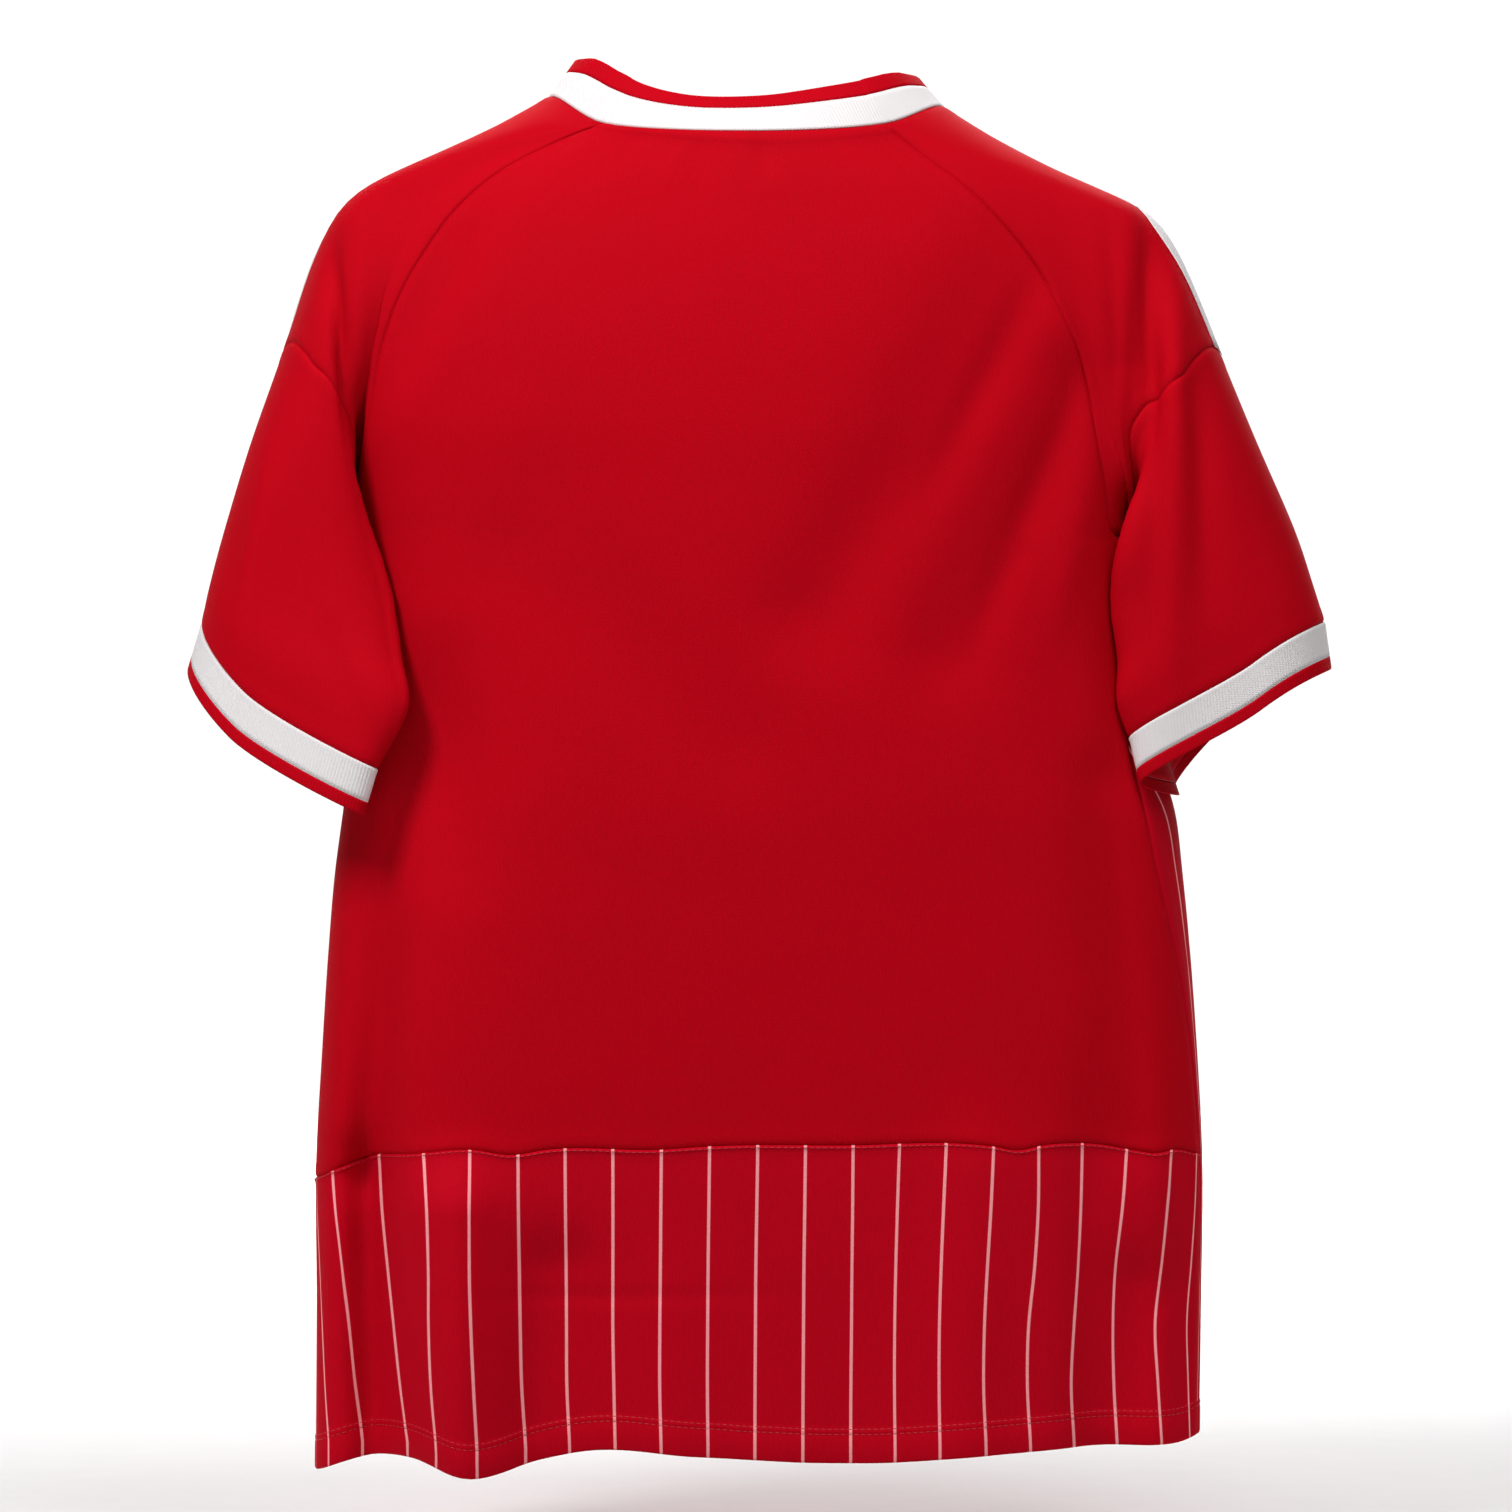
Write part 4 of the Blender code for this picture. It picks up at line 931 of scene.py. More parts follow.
def collar_rings(panels, tubes):
    """Rings of the collar from its seam up, counter-clockwise from the right end of the back's top row."""
    neck = slice(CHEST_ROWS, CHEST_ROWS + NECK_COLUMNS + 1)
    over_left, over_right = tubes["left"][0, neck], tubes["right"][0, neck]
    base = np.concatenate([panels["back"][-1], over_left[1:-1], panels["front"][-1], over_right[1:-1][::-1]])
    along = np.roll(base, -FINER, axis=0) - np.roll(base, FINER, axis=0)
    out = unit(np.stack([-along[:, 1], along[:, 0], np.zeros(len(base))], axis=-1))
    out = np.where((out * base * (1, 1, 0)).sum(axis=1, keepdims=True) < 0, -out, out)
    facing = out[:, 1]
    middle = np.where(facing > 0, COLLAR_LEAN["back"], COLLAR_LEAN["front"])
    lean = COLLAR_LEAN["side"] + (middle - COLLAR_LEAN["side"]) * facing**2
    lean = np.radians(lean)[:, None]
    way = -np.sin(lean) * out + np.cos(lean) * np.array([0.0, 0.0, 1.0])
    depths = band_depths(COLLAR_WHITE, COLLAR_RED)
    rings = np.array([base + way * depth for depth in depths])
    back = np.clip(1.0 + rings[-1, :, 1] / COLLAR_RISE_DEPTH, 0.0, 1.0)
    rise = read_rows(COLLAR_RISES, "x", "height", rings[-1, :, 0]) * back**2 * (3 - 2 * back)
    rings[..., 2] += rise * (depths / depths[-1])[:, None] ** COLLAR_RISE_POWER
    return rings


def lift_sleeve_seam(tube):
    """The rings of a sleeve with the seam round its upper part drawn up at the back."""
    up_the_back = np.linspace(0.0, CHEST_ROWS, len(SEAM_LIFTS))
    over = CHEST_ROWS + NECK_COLUMNS
    knots = np.append(up_the_back, [over, over + CHEST_ROWS // 2, tube.shape[1]])
    lifts = np.append(SEAM_LIFTS, [SEAM_LIFTS[-1], 0.0, 0.0])
    share = smooth_through(knots, lifts, np.arange(tube.shape[1]))
    rows = np.arange(len(tube), dtype=float)[:, None]
    above, below = rows / SHOULDER_ROWS, (SHOULDER_ROWS + SLEEVE_ROWS - rows) / SLEEVE_ROWS
    near = np.clip(np.minimum(above, below), 0.0, 1.0)
    index = rows - share * SHOULDER_ROWS * near**2 * (3 - 2 * near)
    return read_grid(tube, index)


def crease_sleeve(side, tube, normals):
    """The sleeve's rings with its creases, which start a little below the armhole."""
    rows = np.clip(np.arange(len(tube)) / CREASE_START_ROWS, 0.0, 1.0)[:, None]
    facing = normals[..., 1]
    total = np.zeros_like(facing)
    for which, sign in (("back", 1.0), ("front", -1.0)):
        seen = np.clip(facing * sign * FACING_GAIN, 0.0, 1.0)
        total += creased(SLEEVE_CREASES[(side, which)], tube[..., 0], tube[..., 2]) * seen
    return tube + normals * (total * rows)[..., None]


@lru_cache(maxsize=None)
def jersey_form():
    """Middle surfaces of the panels, the sleeves and the collar, and outward normals, shared at the seams."""
    points = {which: panel(which) for which in ("back", "front")}
    normals = {which: body_normals(grid) for which, grid in points.items()}
    tubes = {}
    for side in ("left", "right"):
        tube = lift_sleeve_seam(sleeve_tube(side, points))
        way_out = surface_normals(tube, closed=True)
        tubes[side] = crease_sleeve(side, tube * outwards(side), way_out * outwards(side))
        normals[side] = surface_normals(tubes[side] * outwards(side), closed=True) * outwards(side)
    collar = collar_rings(points, tubes)
    normals["collar"] = body_normals(collar, closed=True)
    share_seam_normals(normals)
    return {**points, **tubes, "collar": collar}, normals


def share_seam_normals(normals):
    """Give the pieces that meet at a seam one normal for each of its points."""
    underarm = HEM_ROWS + WAIST_ROWS
    for side in ("left", "right"):
        back_edge, front_edge = (-1, 0) if side == "left" else (0, -1)
        back, front, loop = normals["back"], normals["front"], normals[side][0]
        below = unit(back[:underarm, back_edge] + front[:underarm, front_edge])
        corner = unit(loop[0] + back[underarm, back_edge] + front[underarm, front_edge])
        up = unit(loop[1:CHEST_ROWS] + back[underarm + 1 : -1, back_edge])
        first_down = CHEST_ROWS + NECK_COLUMNS + 1
        down = unit(loop[first_down:][::-1] + front[underarm + 1 : -1, front_edge])
        back[:underarm, back_edge] = front[:underarm, front_edge] = below
        back[underarm + 1 : -1, back_edge] = loop[1:CHEST_ROWS] = up
        front[underarm + 1 : -1, front_edge] = down
        loop[first_down:] = down[::-1]
        loop[0] = back[underarm, back_edge] = front[underarm, front_edge] = corner
    base = normals["collar"][0]
    neck = slice(CHEST_ROWS, CHEST_ROWS + NECK_COLUMNS + 1)
    left_start = BACK_COLUMNS
    front_start = BACK_COLUMNS + NECK_COLUMNS
    right_start = front_start + FRONT_COLUMNS
    around = {
        "back": np.arange(0, left_start + 1),
        "left": np.arange(left_start, front_start + 1),
        "front": np.arange(front_start, right_start + 1),
        "right": np.append(np.arange(right_start, len(base)), 0)[::-1],
    }
    rows = {"back": (-1, slice(None)), "front": (-1, slice(None)), "left": (0, neck), "right": (0, neck)}
    total = base.copy()
    for name, places in around.items():
        total[places] += normals[name][rows[name]]
    normals["collar"][0] = unit(total)
    for name, places in around.items():
        normals[name][rows[name]] = normals["collar"][0][places]


def read_grid(grid, index):
    """The grid read along smooth curves at fractional row numbers, one set for each of its columns."""
    slope = np.gradient(grid, axis=0)
    low = np.clip(index.astype(int), 0, len(grid) - 2)
    columns = np.arange(grid.shape[1])[None, :]
    start, end, leave, arrive = curve_weights((index - low)[..., None])
    line = start * grid[low, columns] + end * grid[low + 1, columns]
    return line + leave * slope[low, columns] + arrive * slope[low + 1, columns]


def lengths_up(grid):
    """How far up its column each point of a grid lies."""
    steps = np.linalg.norm(np.diff(grid, axis=0), axis=2)
    return np.concatenate([np.zeros((1, grid.shape[1])), np.cumsum(steps, axis=0)])


def row_numbers(grid, places):
    """The fractional row numbers of places that are given as distances up each column."""
    along = lengths_up(grid)
    rows = np.arange(len(grid))
    found = [np.interp(places[:, c], along[:, c], rows) for c in range(grid.shape[1])]
    return np.array(found).T


def edged_rows(grid, start, end):
    """A grid's row numbers with the steps of both its edges, and how far the outer face rises at each."""
    total = lengths_up(grid)[-1]
    at_start = np.minimum(1.0, EDGE_SHARE * total / max(start[-1].distance, LEAST_EDGE))
    at_end = np.minimum(1.0, EDGE_SHARE * total / max(end[-1].distance, LEAST_EDGE))
    first = column(start, "distance")[:, None] * at_start
    last = total - column(end, "distance")[::-1, None] * at_end
    share = np.linspace(0.0, 1.0, len(grid))[1:-1, None]
    places = np.concatenate([first, first[-1] + share * (last[0] - first[-1]), last])
    rise = 0.0
    for steps, away, fit in ((start, places, at_start), (end, total - places, at_end)):
        rise = rise + np.interp(away / fit, column(steps, "distance"), column(steps, "rise"))
    return row_numbers(grid, places), rise


def across(grid):
    """The grid with its rows and columns exchanged."""
    return np.swapaxes(grid, 0, 1)


def knit_shell(name, points, normals, edges, faces_out=CLOTH_OUT, faces_in=CLOTH_IN, closed=False):
    """A closed shell of cloth round a middle surface, with its edges turned as the tables of steps say.

    edges are the steps at the first row, the last row, and, unless the shell closes, at its first and last
    column. Its UV map holds metres of cloth: round or across the piece, and up it.
    """
    index, rise = edged_rows(points, edges[0], edges[1])
    points, normals = read_grid(points, index), unit(read_grid(normals, index))
    if not closed:
        index, more = edged_rows(across(points), edges[2], edges[3])
        rise = across(read_grid(across(rise[..., None]), index))[..., 0] + across(more)
        normals = unit(across(read_grid(across(normals), index)))
        points = across(read_grid(across(points), index))
    up = lengths_up(points)
    round_it = across(lengths_up(across(points)))
    if not closed:
        round_it = round_it - round_it[:, [round_it.shape[1] // 2]]
    outer = points + normals * (faces_out + rise)[..., None]
    inner = points - normals * faces_in
    rows, columns = points.shape[:2]
    corners = np.concatenate([outer.reshape(-1, 3), inner.reshape(-1, 3)])
    made = add_mesh(name, corners.tolist(), shell_faces(rows, columns, closed).tolist())
    uv = np.stack([round_it, up], axis=-1).reshape(-1, 2)
    seam_step = np.linalg.norm(points[:, 0] - points[:, -1], axis=1)
    unroll(made.data, uv, round_it[:, -1] + seam_step, columns, closed)
    return made


def shell_faces(rows, columns, closed):
    """Faces of a shell from its outer and inner grid of corners: both skins, and strips along the edges."""
    number = np.arange(rows * columns).reshape(rows, columns)
    here = np.arange(columns if closed else columns - 1)
    after = (here + 1) % columns
    below, above = number[:-1], number[1:]
    skin = np.stack([below[:, here], below[:, after], above[:, after], above[:, here]], axis=-1)
    skin = skin.reshape(-1, 4)
    edges = [(row[here], row[after]) for row in (number[0], number[-1])]
    if not closed:
        edges += [(side[:-1], side[1:]) for side in (number[:, 0], number[:, -1])]
    count = number.size
    strips = [np.stack([start, end, end + count, start + count], axis=-1) for start, end in edges]
    return np.concatenate([skin, skin[:, ::-1] + count, *strips])


def add_mesh(name, corners, faces):
    """A new object in the scene, from its corners and faces, with every face turned outwards."""
    mesh = bpy.data.meshes.new(name)
    mesh.from_pydata(corners, [], faces)
    body = bmesh.new()
    body.from_mesh(mesh)
    bmesh.ops.recalc_face_normals(body, faces=body.faces)
    body.to_mesh(mesh)
    body.free()
    mesh.shade_smooth()
    made = bpy.data.objects.new(name, mesh)
    bpy.context.scene.collection.objects.link(made)
    return made


def unroll(mesh, uv, turn, columns, closed):
    """Write the UV map. On a closed shell, the last column's faces end a whole turn from where they start."""
    corners = np.zeros(len(mesh.loops), int)
    mesh.loops.foreach_get("vertex_index", corners)
    corners = corners % len(uv)
    flat = uv[corners]
    if closed:
        sizes = np.zeros(len(mesh.polygons), int)
        mesh.polygons.foreach_get("loop_total", sizes)
        face = np.repeat(np.arange(len(sizes)), sizes)
        wrapped = np.zeros(len(sizes), bool)
        np.logical_or.at(wrapped, face, corners % columns == columns - 1)
        far = wrapped[face] & (corners % columns == 0)
        flat[far, 0] = turn[corners[far] // columns]
    layer = mesh.uv_layers.new(name="cloth")
    layer.data.foreach_set("uv", flat.astype(np.float32).ravel())


def lengths_round(x, y, height):
    """How far round the body each point lies from the middle of the front, as if the cloth had no folds."""
    ring = body_point(np.linspace(-90.0, 90.0, 361), ROUND_HEIGHT, folded=False)
    run = np.concatenate([[0.0], np.cumsum(np.hypot(*np.diff(ring[:, :2], axis=0).T))])
    side, widest = len(ring) // 2, ring[:, 0].max()
    left, right = (read_rows(BODY, "height", name, height) for name in ("left", "right"))
    half = np.where(x > 0, left, right)
    share = np.clip(np.abs(x) / half, 0.0, 1.0) * widest
    front = np.interp(share, ring[: side + 1, 0], run[: side + 1])
    back = np.interp(share, ring[side:, 0][::-1], run[side:][::-1])
    return np.where(y > 0, back, front) * half / widest


def stripe_numbers(x, y, height):
    """Which pinstripe of the lower back, counted in fractions, lies at each point."""
    at = [smooth_through(STRIPE_HEIGHTS, row[1:], height) for row in STRIPE_PLACES]
    numbers = column(STRIPE_PLACES, "number")
    total = np.full_like(x, numbers[0])
    for k in range(len(numbers) - 1):
        part = (at[k] - x) / (at[k] - at[k + 1])
        total += (numbers[k + 1] - numbers[k]) * np.clip(part, 0.0, 1.0)
    for end, past, way in ((0, x > at[0], -1.0), (-1, x < at[-1], 1.0)):
        further = lengths_round(at[end], np.ones_like(y), height) - lengths_round(x, y, height)
        total = np.where(past, numbers[end] + way * further / STRIPE_PITCH, total)
    return total


def number_stripes(made, numbers):
    """Store how far across the pinstripes each point of a piece lies, for its material."""
    made.data.attributes.new("stripe", "FLOAT", "POINT")
    made.data.attributes["stripe"].data.foreach_set("value", numbers.astype(np.float32))


def seam_line(points, normals, distance, rise):
    """Points on the cloth at a distance up from its first row, with its normals there."""
    places = np.full((1, points.shape[1]), distance)
    index = row_numbers(points, places)
    way = unit(read_grid(normals, index))[0]
    return read_grid(points, index)[0] + way * rise, way


def along_line(values, along, place):
    """The values of a line's points, or of its normals, read at a distance along it."""
    return np.array([np.interp(place, along, values[:, axis]) for axis in range(3)])


def stitch_mesh(name, lines):
    """One mesh of separate stitches, each a slim bead that lies along its line."""
    ring = np.radians(np.arange(STITCH_SIDES) * 360.0 / STITCH_SIDES)
    corners, faces = [], []
    for points, normals in lines:
        along = np.concatenate([[0.0], np.cumsum(np.linalg.norm(np.diff(points, axis=0), axis=1))])
        for middle in np.arange(STITCH_PITCH / 2, along[-1], STITCH_PITCH):
            at = along_line(points, along, middle)
            normal = unit(along_line(normals, along, middle))
            way = unit(along_line(points, along, middle + STITCH_AHEAD) - at)
            beside = unit(np.cross(way, normal))
            start = len(corners)
            for step, size in STITCH_PROFILE:
                centre = at + way * step * STITCH_LENGTH
                for angle in ring:
                    off = (np.cos(angle) * beside + np.sin(angle) * normal) * THREAD * size
                    corners.append(tuple(centre + off))
            faces += bead_faces(start)
    return add_mesh(name, corners, faces)


def bead_faces(start):
    """Faces of one stitch, whose rings of corners are numbered from start."""
    number = start + np.arange(len(STITCH_PROFILE) * STITCH_SIDES).reshape(-1, STITCH_SIDES)
    after = np.roll(number, -1, axis=1)
    skin = np.stack([number[:-1], after[:-1], after[1:], number[1:]], axis=-1).reshape(-1, 4)
    return [*skin.tolist(), number[0, ::-1].tolist(), number[-1].tolist()]


def places_of(made):
    """Where the corners of a piece are."""
    found = np.zeros(len(made.data.vertices) * 3)
    made.data.vertices.foreach_get("co", found)
    return found.reshape(-1, 3)


def finish_piece(made, material, slot, *nodes):
    """Give a piece its material, let it ride on the body, and let it stand for the solids of those nodes."""
    made.data.materials.append(material)
    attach(made, "root")
    if nodes:
        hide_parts(*nodes)
    return made


def add_node(tree, kind, inputs=None, **settings):
    """Add a shader node. Each input is a value, or the output that feeds it."""
    made = tree.nodes.new("ShaderNode" + kind)
    for name, value in settings.items():
        setattr(made, name, value)
    for name, value in (inputs or {}).items():
        if isinstance(value, bpy.types.NodeSocket):
            tree.links.new(value, made.inputs[name])
        else:
            made.inputs[name].default_value = value
    return made


def calculate(tree, operation, *values):
    """The output of a sum in a material, whose values are numbers or other outputs."""
    return add_node(tree, "Math", dict(enumerate(values)), operation=operation).outputs[0]


def new_material(name):
    """A new material, its node tree and its shader."""
    material = bpy.data.materials.new(name)
    material.use_nodes = True
    return material, material.node_tree, material.node_tree.nodes["Principled BSDF"]


def noise(tree, where, scale, detail=2.0):
    """Smooth noise from 0 to 1."""
    return add_node(tree, "TexNoise", {"Vector": where, "Scale": scale, "Detail": detail}).outputs["Fac"]


def in_range(tree, value, low, high):
    """The value, which runs from 0 to 1, brought between low and high."""
    made = add_node(tree, "MapRange", {"Value": value, "To Min": low, "To Max": high})
    return made.outputs["Result"]


def grey(tree, level):
    """A grey of that level."""
    made = add_node(tree, "CombineColor", {channel: level for channel in ("Red", "Green", "Blue")})
    return made.outputs["Color"]


def mix_colours(tree, factor, first, second, blend="MIX"):
    """Two colours mixed. Each, and the factor, is a value or an output."""
    inputs = {MIX_FACTOR: factor, MIX_FIRST: first, MIX_SECOND: second}
    return add_node(tree, "Mix", inputs, data_type="RGBA", blend_type=blend).outputs[MIX_RESULT]


def wave_along(tree, across_cloth, period):
    """A smooth wave from 0 to 1 along one axis of the cloth."""
    angle = calculate(tree, "MULTIPLY", across_cloth, 2 * np.pi / period)
    return calculate(tree, "MULTIPLY_ADD", calculate(tree, "SINE", angle), 0.5, 0.5)


def knit_stitches(tree, uv, finish):
    """Height of the knit, from 0 to 1. Each wale is a ridge, and its stitches lean to either side of it."""
    place = add_node(tree, "SeparateXYZ", {"Vector": uv})
    wales = wave_along(tree, place.outputs["X"], finish.wale)
    lean = calculate(tree, "MULTIPLY_ADD", wales, finish.course * COURSE_LEAN, place.outputs["Y"])
    courses = wave_along(tree, lean, finish.course)
    ridges = calculate(tree, "MULTIPLY", wales, 1.0 - COURSE_SHARE)
    return calculate(tree, "MULTIPLY_ADD", courses, COURSE_SHARE, ridges)


def on_pinstripe(tree):
    """1 on a pinstripe and 0 between two, from the stripe numbers that the piece carries."""
    number = add_node(tree, "Attribute", attribute_name="stripe").outputs["Fac"]
    share = calculate(tree, "FRACT", calculate(tree, "ADD", number, 0.5))
    off = calculate(tree, "ABSOLUTE", calculate(tree, "SUBTRACT", share, 0.5))
    edge = STRIPE_WIDTH / 2 / STRIPE_PITCH
    ends = {"From Min": edge * (1 + STRIPE_BLUR), "From Max": edge * (1 - STRIPE_BLUR)}
    return add_node(tree, "MapRange", {"Value": off, "To Min": 0.0, "To Max": 1.0, **ends}).outputs["Result"]


def cloth_material(name):
    """Knit cloth: rows of stitches across and up the fabric, with painted shade in their hollows, a soft
    sheen, and a slightly uneven dye.
    """
    finish = FINISHES[name]
    colours = bpy.context.scene.jersey_cloth
    dyed = (*getattr(colours, finish.colour), 1.0)
    material, tree, shader = new_material(name)
    uv = add_node(tree, "UVMap", uv_map="cloth").outputs["UV"]
    stitches = knit_stitches(tree, uv, finish)
    fuzz = noise(tree, uv, FUZZ_SCALE, 3.0)
    broad = noise(tree, uv, DYE_SCALE, 4.0)
    # Painted shade: the colour is darker in the hollows of the knit and lighter on its ridges, as deep as the
    # dye is uneven.
    shade = calculate(tree, "MULTIPLY_ADD", stitches, finish.variation, 1.0 - finish.variation / 2)
    shade = calculate(tree, "MULTIPLY_ADD", broad, finish.variation, shade)
    colour = mix_colours(tree, 1.0, dyed, grey(tree, shade), "MULTIPLY")
    if finish.striped:
        colour = mix_colours(tree, on_pinstripe(tree), colour, (*colours.stripe, 1.0))
    height = calculate(tree, "MULTIPLY_ADD", fuzz, FUZZ_SHARE, stitches)
    bump = add_node(tree, "Bump", {"Height": height, "Strength": BUMP_STRENGTH, "Distance": finish.relief})
    tree.links.new(colour, shader.inputs["Base Color"])
    tree.links.new(bump.outputs["Normal"], shader.inputs["Normal"])
    tree.links.new(in_range(tree, broad, *ROUGHNESS), shader.inputs["Roughness"])
    shader.inputs["Specular IOR Level"].default_value = SPECULAR
    shader.inputs["Sheen Weight"].default_value = finish.sheen
    shader.inputs["Sheen Tint"].default_value = dyed
    shader.inputs["Sheen Roughness"].default_value = SHEEN_ROUGHNESS
    return material


def thread_material(name, colour):
    """Sewing thread, twisted from plies, with painted shade in random patches for the gaps between them."""
    material, tree, shader = new_material(name)
    where = add_node(tree, "TexCoord").outputs["Object"]
    # Painted shade: the thread's colour, darkened in random patches, stands for the gaps between its plies.
    ply_gap_shade = (*[part * THREAD_SHADE for part in colour], 1.0)
    ply_shaded = mix_colours(tree, noise(tree, where, THREAD_SCALE), ply_gap_shade, (*colour, 1.0))
    tree.links.new(ply_shaded, shader.inputs["Base Color"])
    shader.inputs["Roughness"].default_value = THREAD_ROUGHNESS
    return material


def floor_material():
    """Pale matt paint, slightly uneven."""
    material, tree, shader = new_material("pale_floor")
    where = add_node(tree, "TexCoord").outputs["Object"]
    tone = in_range(tree, noise(tree, where, FLOOR_GRAIN), *FLOOR_TONES)
    tree.links.new(grey(tree, tone), shader.inputs["Base Color"])
    shader.inputs["Roughness"].default_value = FLOOR_ROUGHNESS
    return material


class JerseyCloth(bpy.types.PropertyGroup):
    """Colours of the cloth."""

    red: FloatVectorProperty(
        name="Red",
        description="Colour of the back, the sleeves and the edges of collar and cuffs",
        subtype="COLOR",
        default=(0.44, 0.0005, 0.0068),
        min=0.0,
        max=1.0,
    )
    # The pinstriped cloth's crimson hue is its own, and it is a little brighter than the red as painted
    # light, for the lower back facing the light more.
    crimson: FloatVectorProperty(
        name="Crimson",
        description="Ground colour of the pinstriped cloth",
        subtype="COLOR",
        default=(0.47, 0.0010, 0.0105),
        min=0.0,
        max=1.0,
    )
    white: FloatVectorProperty(
        name="White",
        description="Colour of the collar, the cuffs and the shoulder tapes",
        subtype="COLOR",
        default=(0.72, 0.69, 0.695),
        min=0.0,
        max=1.0,
    )
    stripe: FloatVectorProperty(
        name="Pinstripe",
        description="Colour of the pinstripes",
        subtype="COLOR",
        default=(0.97, 0.35, 0.375),
        min=0.0,
        max=1.0,
    )
    thread: FloatVectorProperty(
        name="Thread",
        description="Colour of the stitches that show",
        subtype="COLOR",
        default=(0.50, 0.02, 0.032),
        min=0.0,
        max=1.0,
    )


class JerseyStage(bpy.types.PropertyGroup):
    """Floor, light and camera."""

    floor_drop: FloatProperty(
        name="Floor below hem",
        description="How far the floor lies below the lowest point of the garment",
        default=0.045,
        min=0.0,
        unit="LENGTH",
    )
    surround: FloatProperty(
        name="Surround",
        description="Strength of the pale light from the side that the jersey's front faces",
        default=1.06,
        min=0.0,
    )
    shade: FloatProperty(
        name="Surround behind",
        description="Strength of the pale light from the side that the jersey's back faces",
        default=0.15,
        min=0.0,
    )
    key_power: FloatProperty(
        name="Key light",
        description="Power of the large light above the wearer's left shoulder blade",
        default=57.0,
        min=0.0,
        unit="POWER",
    )
    camera_distance: FloatProperty(
        name="Camera distance",
        description="How far behind the garment the camera stands",
        default=3.2,
        min=1.0,
        unit="LENGTH",
    )
    view_width: FloatProperty(
        name="View width",
        description="Width of the view in the plane of the shoulders",
        default=0.7968,
        min=0.1,
        unit="LENGTH",
    )


class JERSEY_OT_back(bpy.types.Operator):
    """Sew the plain red back"""

    bl_idname = "jersey.back"
    bl_label = "Back"

    def execute(self, context):
        form, normals = jersey_form()
        rows = slice(HEM_ROWS, None)
        edges = (SEAM_EDGE, NECK_EDGE, SEAM_EDGE, SEAM_EDGE)
        made = knit_shell("knit_back", form["back"][rows], normals["back"][rows], edges)
        finish_piece(made, cloth_material("red_knit"), "red_knit", "back")
        return {"FINISHED"}


class JERSEY_OT_lower_back(bpy.types.Operator):
    """Sew the pinstriped lower back"""

    bl_idname = "jersey.lower_back"
    bl_label = "Lower back"

    def execute(self, context):
        form, normals = jersey_form()
        rows = slice(0, HEM_ROWS + 1)
        edges = (HEM_EDGE, PANEL_TOP_EDGE, SEAM_EDGE, SEAM_EDGE)
        made = knit_shell("knit_lower_back", form["back"][rows], normals["back"][rows], edges)
        number_stripes(made, stripe_numbers(*places_of(made).T))
        finish_piece(made, cloth_material("pinstriped_knit"), "pinstriped_knit", "back_hem_panel")
        return {"FINISHED"}


class JERSEY_OT_front(bpy.types.Operator):
    """Sew the pinstriped front"""

    bl_idname = "jersey.front"
    bl_label = "Front"

    def execute(self, context):
        form, normals = jersey_form()
        edges = (HEM_EDGE, NECK_EDGE, SEAM_EDGE, SEAM_EDGE)
        made = knit_shell("knit_front", form["front"], normals["front"], edges)
        places = places_of(made)
        across_front = np.sign(places[:, 0]) * lengths_round(*places.T)
        number_stripes(made, across_front / STRIPE_PITCH + FRONT_STRIPE_START)
        finish_piece(made, cloth_material("pinstriped_knit"), "pinstriped_knit", "front")
        return {"FINISHED"}


class JERSEY_OT_sleeves(bpy.types.Operator):
    """Sew the raglan shoulders and the lower sleeves"""

    bl_idname = "jersey.sleeves"
    bl_label = "Sleeves"

    def execute(self, context):
        form, normals = jersey_form()
        material = cloth_material("red_knit")
        last = SHOULDER_ROWS + SLEEVE_ROWS
        pieces = (("shoulder", 0, SHOULDER_ROWS), ("sleeve", SHOULDER_ROWS, last))
        for side in ("left", "right"):
            for name, start, end in pieces:
                rows = slice(start, end + 1)
                edges = (SEAM_EDGE, SEAM_EDGE)
                piece = f"knit_{name}_{side}"
                made = knit_shell(piece, form[side][rows], normals[side][rows], edges, closed=True)
                finish_piece(made, material, "red_knit", f"{name}_{side}")
        return {"FINISHED"}


class JERSEY_OT_cuffs(bpy.types.Operator):
    """Sew the rib cuffs, white with a red edge, each with a red facing inside as painted shade"""

    bl_idname = "jersey.cuffs"
    bl_label = "Cuffs"

    def execute(self, context):
        form, normals = jersey_form()
        start = SHOULDER_ROWS + SLEEVE_ROWS
        for side in ("left", "right"):
            band = slice(start, start + BAND_ROWS + 1)
            edges = (PLAIN_EDGE, PLAIN_EDGE)
            # Painted shade: a red knit facing lines the inside of each cuff, so that its opening looks dark
            # as in shade.
            piece = f"cuff_lining_{side}"
            inside = (-SHADE_LINING_DEPTH, SHADE_LINING_DEPTH + SHADE_LINING_THICK)
            shade_lining = knit_shell(piece, form[side][band], normals[side][band], edges, *inside, closed=True)
            finish_piece(shade_lining, cloth_material("red_knit"), "red_knit")
            add_bands("cuff", f"_{side}", form[side][start:], normals[side][start:], shade_lining)
        return {"FINISHED"}


class JERSEY_OT_collar(bpy.types.Operator):
    """Sew the rib collar, white with a red edge"""

    bl_idname = "jersey.collar"
    bl_label = "Collar"

    def execute(self, context):
        form, normals = jersey_form()
        add_bands("collar", "", form["collar"], normals["collar"])
        return {"FINISHED"}


def add_bands(name, ending, points, normals, *shade_linings):
    """The white band of the collar or of a cuff, and the narrow red edge that is knitted on to it."""
    bands = (
        ("band", slice(0, BAND_ROWS + 1), (RIB_SEAM_EDGE, PLAIN_EDGE), "white_rib"),
        ("edge", slice(BAND_ROWS, None), (PLAIN_EDGE, RIB_FREE_EDGE), "red_rib"),
    )
    for part, rows, edges, slot in bands:
        piece = f"rib_{name}_{part}{ending}"
        made = knit_shell(piece, points[rows], normals[rows], edges, RIB_OUT, RIB_IN, closed=True)
        finish_piece(made, cloth_material(slot), slot, f"{name}_{part}{ending}")


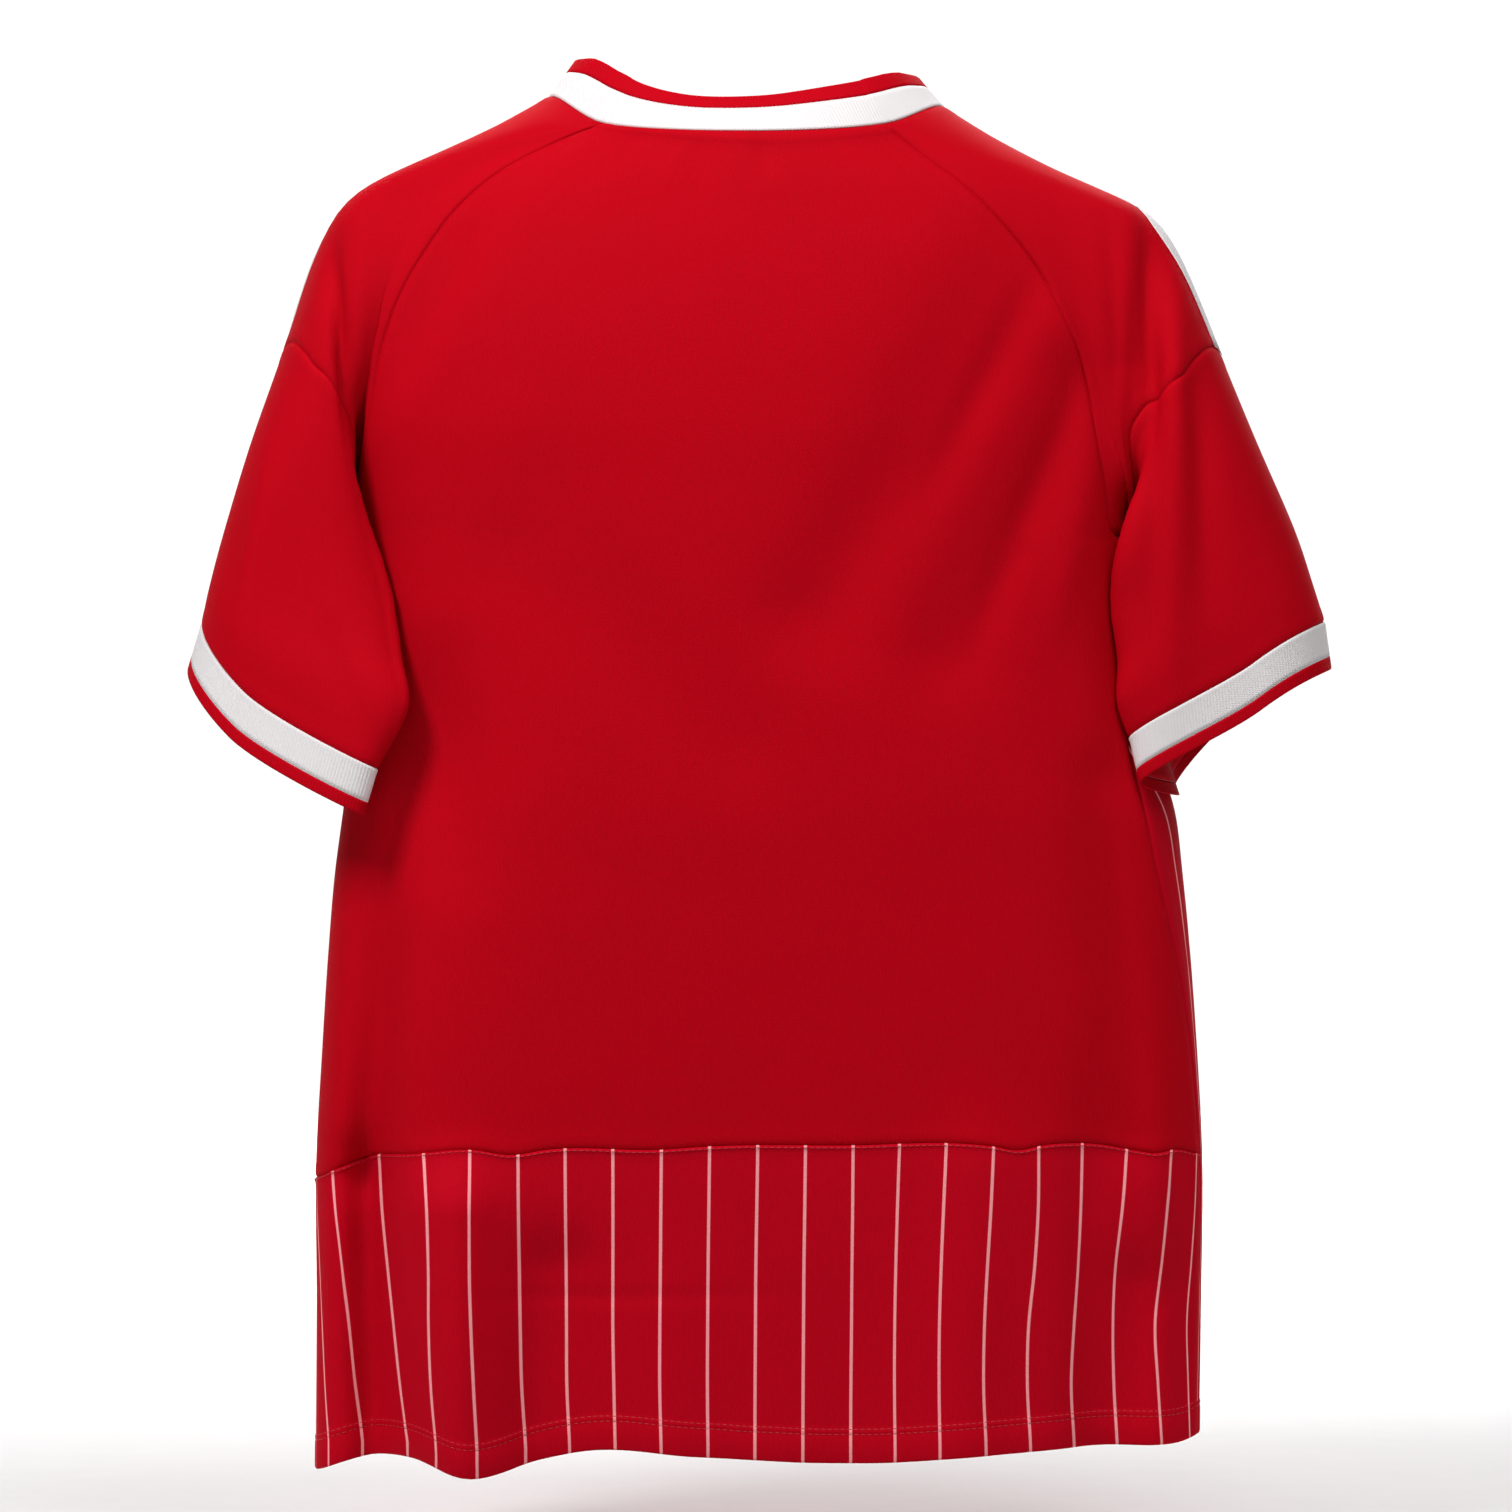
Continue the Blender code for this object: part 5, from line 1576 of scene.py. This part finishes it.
class JERSEY_OT_tapes(bpy.types.Operator):
    """Lay a plain white tape along the top of each shoulder"""

    bl_idname = "jersey.tapes"
    bl_label = "Shoulder tapes"

    def execute(self, context):
        form, normals = jersey_form()
        material = cloth_material("white_tape")
        rows = np.arange(SHOULDER_ROWS + 1)
        for side in ("left", "right"):
            back = read_rows(TAPES[side], "row", "back", rows)
            front = read_rows(TAPES[side], "row", "front", rows)
            columns = np.linspace(back, front, TAPE_STEPS)
            points = across(read_grid(across(form[side][rows]), columns))
            ways = unit(across(read_grid(across(normals[side][rows]), columns)))
            edges = (PLAIN_EDGE, PLAIN_EDGE, RIB_FREE_EDGE, RIB_FREE_EDGE)
            made = knit_shell(f"tape_{side}", points, ways, edges, TAPE_RISE, TAPE_THICK - TAPE_RISE)
            finish_piece(made, material, "white_tape", f"shoulder_stripe_{side}")
        return {"FINISHED"}


class JERSEY_OT_stitching(bpy.types.Operator):
    """Sew the double line of stitches above the hem"""

    bl_idname = "jersey.stitching"
    bl_label = "Stitching"

    def execute(self, context):
        form, normals = jersey_form()
        lines = []
        for which in ("back", "front"):
            for distance, rise in HEM_STITCHES:
                lines.append(seam_line(form[which], normals[which], distance, CLOTH_OUT + rise))
        rows = slice(0, HEM_ROWS + 1)
        top_down, ways = form["back"][rows][::-1], normals["back"][rows][::-1]
        lines.append(seam_line(top_down, ways, *PANEL_STITCHES))
        made = stitch_mesh("stitching", lines)
        finish_piece(made, thread_material("thread", context.scene.jersey_cloth.thread), "pinstriped_knit")
        return {"FINISHED"}


class JERSEY_OT_stage(bpy.types.Operator):
    """Set up the pale floor, the soft light and the camera"""

    bl_idname = "jersey.stage"
    bl_label = "Stage"

    def execute(self, context):
        settings = context.scene.jersey_stage
        add_floor(CAD_BOX[0].z - settings.floor_drop)
        add_surround(settings.surround, settings.shade)
        middle = (CAD_BOX[0] + CAD_BOX[1]) / 2
        for light in LIGHTS:
            add_light(light, middle, settings.key_power * light.share)
        add_camera(settings)
        context.scene.view_settings.view_transform = "Standard"
        return {"FINISHED"}


def add_floor(height):
    """A wide round floor."""
    place = (0, 0, height)
    bpy.ops.mesh.primitive_circle_add(vertices=96, radius=FLOOR_RADIUS, fill_type="NGON", location=place)
    floor = bpy.context.object
    floor.name = "floor"
    floor.data.materials.append(floor_material())


def add_surround(strength, shade):
    """Pale light from all round, dimmer behind the jersey, so that the folds of its back show."""
    world = bpy.data.worlds.new("surround")
    world.use_nodes = True
    tree = world.node_tree
    where = add_node(tree, "TexCoord")
    way = add_node(tree, "SeparateXYZ", {"Vector": where.outputs["Generated"]})
    ends = {"From Min": SURROUND_TURN[0], "From Max": SURROUND_TURN[1], "To Min": strength, "To Max": shade}
    inputs = {"Value": way.outputs["Y"], **ends}
    level = add_node(tree, "MapRange", inputs, interpolation_type="SMOOTHSTEP")
    background = tree.nodes["Background"]
    background.inputs["Color"].default_value = (1.0, 1.0, 1.0, 1.0)
    tree.links.new(level.outputs["Result"], background.inputs["Strength"])
    bpy.context.scene.world = world


def add_light(light, target, power):
    """A square light that points at the target, or straight down at the floor."""
    data = bpy.data.lights.new(light.name, "AREA")
    data.size = light.size
    data.energy = power
    data.spread = light.spread
    made = bpy.data.objects.new(light.name, data)
    made.location = (light.x, light.y, light.z)
    aim = made.location - UP if light.name == "floor" else target
    made.rotation_euler = (aim - made.location).to_track_quat("-Z", "Y").to_euler()
    bpy.context.scene.collection.objects.link(made)


def add_camera(settings):
    """A camera that looks level at the garment's back."""
    data = bpy.data.cameras.new("camera")
    data.lens = data.sensor_width * settings.camera_distance / settings.view_width
    made = bpy.data.objects.new("camera", data)
    made.location = (CAMERA_X, settings.camera_distance, CAMERA_Z)
    made.rotation_euler = (np.pi / 2, 0.0, np.pi)
    bpy.context.scene.collection.objects.link(made)
    bpy.context.scene.camera = made


OPERATORS = (
    JERSEY_OT_back,
    JERSEY_OT_lower_back,
    JERSEY_OT_front,
    JERSEY_OT_sleeves,
    JERSEY_OT_cuffs,
    JERSEY_OT_collar,
    JERSEY_OT_tapes,
    JERSEY_OT_stitching,
    JERSEY_OT_stage,
)


class JERSEY_PT_panel(bpy.types.Panel):
    """Lists the settings and the pieces of the jersey"""

    bl_label = "Jersey"
    bl_idname = "JERSEY_PT_panel"
    bl_space_type = "VIEW_3D"
    bl_region_type = "UI"
    bl_category = "Jersey"

    def draw(self, context):
        for group in (context.scene.jersey_cloth, context.scene.jersey_stage):
            for name in group.bl_rna.properties.keys():
                if name not in ("rna_type", "name"):
                    self.layout.prop(group, name)
        for operator in OPERATORS:
            self.layout.operator(operator.bl_idname)


CLASSES = (JerseyCloth, JerseyStage, *OPERATORS, JERSEY_PT_panel)


def register():
    for made in CLASSES:
        bpy.utils.register_class(made)
    bpy.types.Scene.jersey_cloth = PointerProperty(type=JerseyCloth)
    bpy.types.Scene.jersey_stage = PointerProperty(type=JerseyStage)


def unregister():
    del bpy.types.Scene.jersey_stage
    del bpy.types.Scene.jersey_cloth
    for made in reversed(CLASSES):
        bpy.utils.unregister_class(made)


def main():
    """Make every piece and the stage."""
    register()
    for operator in OPERATORS:
        group, name = operator.bl_idname.split(".")
        getattr(getattr(bpy.ops, group), name)()


if __name__ == "__main__":
    main()
